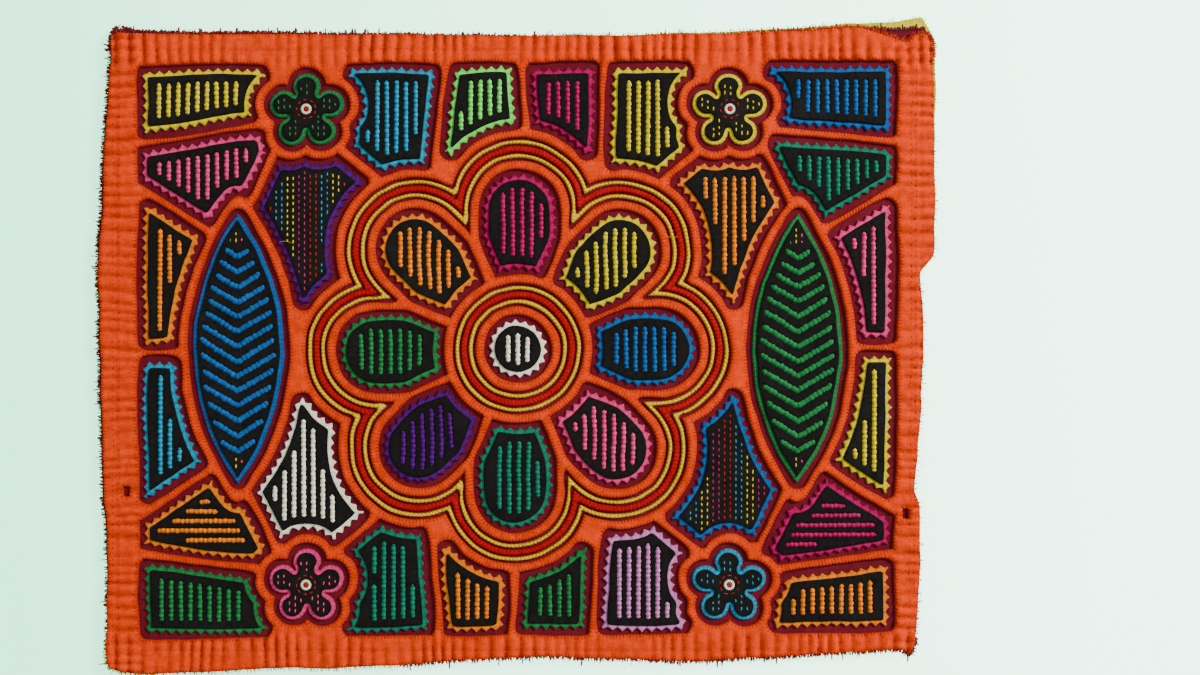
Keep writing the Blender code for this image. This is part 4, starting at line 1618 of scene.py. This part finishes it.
@dataclass
class Studio:
    """A pale table, soft light from the upper right, and the camera straight above.

    Attributes:
        pixel: Size on the table of one pixel of the picture, in millimetres.
        picture: Width and height of the picture in pixels.
        centre_px: Where the panel's origin lies in it.
        lens: Focal length of the camera.
        sensor: Width of its sensor.
        table_colour: Colour of the table.
        table_shade: Painted light that the table glows with at the left, where it lies in shade.
        table_sunny: Painted light that it glows with at the right, where the window light falls.
        room_light: Strength of the light from all round.
    """

    pixel: float = 0.515
    picture: tuple[int, int] = (1200, 675)
    centre_px: tuple[float, float] = (517.5, 345.0)
    lens: float = 30.0
    sensor: float = 36.0
    table_colour: tuple = (0.35, 0.95, 0.65, 1.0)
    table_shade: tuple = (0.75, 2.5, 1.5, 1.0)
    table_sunny: tuple = (3.3, 4.5, 3.9, 1.0)
    room_light: float = 0.4

    def floor(self) -> None:
        """A plain pale table top that glows with painted light, dimmer at the left than at the right."""
        bpy.ops.object.select_all(action="DESELECT")
        bpy.ops.mesh.primitive_plane_add(size=6.0, location=(0.0, 0.0, -0.0003))
        table = bpy.context.object
        table.name = "table"
        graph = Graph("table_top")
        fine = graph.noise(Vector((900.0, 900.0, 900.0)), 3.0)
        graph.put(graph.shader.inputs["Base Color"], self.table_colour)
        graph.bump(fine, 0.0001, 0.15)
        axes = graph.tree.nodes.new("ShaderNodeSeparateXYZ")
        graph.put(axes.inputs["Vector"], graph.place)
        # Painted light: the table glows, from its shaded left to its sunny right.
        across = graph.ramp(axes.outputs["X"], -0.25, 0.3)
        glow = graph.mix(across, self.table_shade, self.table_sunny)
        graph.put(graph.shader.inputs["Emission Color"], glow)
        graph.shader.inputs["Emission Strength"].default_value = 1.0
        graph.shader.inputs["Roughness"].default_value = 0.8
        table.data.materials.append(graph.material)

    def lamp(self, name: str, place: tuple, size: float, power: float, colour: Colour) -> None:
        """One soft area lamp that looks at the panel.

        Args:
            name: The lamp's name.
            place: Where it hangs, in metres.
            size: Its width, in metres.
            power: Its power, in watts.
            colour: Colour of its light.
        """
        bpy.ops.object.select_all(action="DESELECT")
        bpy.ops.object.light_add(type="AREA", location=place)
        lamp = bpy.context.object
        lamp.name = name
        lamp.data.size = size
        lamp.data.energy = power
        lamp.data.color = colour
        lamp.rotation_mode = "QUATERNION"
        lamp.rotation_quaternion = (-Vector(place)).to_track_quat("-Z", "Y")

    def camera(self) -> None:
        """The camera, level with the picture's own framing."""
        data = bpy.data.cameras.new("camera")
        data.lens = self.lens
        data.sensor_width = self.sensor
        camera = bpy.data.objects.new("camera", data)
        bpy.context.scene.collection.objects.link(camera)
        x = (self.picture[0] / 2 - self.centre_px[0]) * self.pixel
        y = (self.centre_px[1] - self.picture[1] / 2) * self.pixel
        wide = self.picture[0] * self.pixel
        camera.location = (x * MM, y * MM, wide * self.lens / self.sensor * MM)
        bpy.context.scene.camera = camera

    def build(self) -> None:
        """Makes the table, the lights and the camera."""
        self.floor()
        self.lamp("window_light", (1.5, 0.87, 0.92), 0.42, 80.0, (1.0, 0.97, 0.92))
        self.lamp("fill_light", (-0.9, -0.2, 1.1), 1.2, 9.5, (1.0, 0.98, 0.96))
        world = bpy.data.worlds.new("room")
        world.use_nodes = True
        back = world.node_tree.nodes["Background"]
        back.inputs["Color"].default_value = (0.9, 0.95, 0.93, 1.0)
        back.inputs["Strength"].default_value = self.room_light
        bpy.context.scene.world = world
        self.camera()


def window_for(name: str, levels: Levels, threads: ThreadBox, seed: int) -> Window:
    """Chooses how one window is worked.

    Args:
        name: What its nodes are called.
        levels: Heights of the layers.
        threads: Where its stitches go.
        seed: Fixes its unevenness.

    Returns:
        The window, not built yet.
    """
    if name.startswith("leaf"):
        dashes = (Dye.RED, Dye.GREEN, Dye.LEMON, Dye.PINK, Dye.TEAL)
        return Window(name, levels, threads, seed, toothed=False, rim=1.9, bar_width=3.2, waist=0.91,
                      dashes=dashes)
    if name.startswith("blossom"):
        dashes = (dye_of(name + "_insert"),)
        return Window(name, levels, threads, seed, Slits.NONE, toothed=False, rim=1.9, dashes=dashes,
                      eyed=True)
    if name in STITCHED_WINDOWS:
        dashes = tuple(dye for dye in (Dye.RED, Dye.SKY, Dye.LEMON, Dye.MAGENTA) for _ in range(2))
        return Window(name, levels, threads, seed, Slits.NONE, dashes=dashes)
    return Window(name, levels, threads, seed, Slits.LEVEL if name in LEVEL_WINDOWS else Slits.UPRIGHT)


def main() -> None:
    """Dresses the panel, one sub-assembly after another."""
    logging.basicConfig(level=logging.INFO, format="%(relativeCreated)6d ms %(name)s: %(message)s")
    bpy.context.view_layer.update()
    levels = Levels.from_frame()
    threads = ThreadBox()
    strips = []
    for prefix, seed in (("flower", 40), ("ring", 41)):
        strips += EchoChannel(prefix, levels, threads, seed).build()
    UnderCloths(levels).build(strips)
    orange = TopCloth(levels, threads)
    orange.build()
    inserts = sorted(name[: -len("_insert")] for name in frame["nodes"] if name.endswith("_insert"))
    for k, name in enumerate(inserts):
        window_for(name, levels, threads, k + 1).build()
    RawEdges(levels, threads).build()
    orange.declare(threads.build())
    Studio().build()


if __name__ == "__main__":
    main()
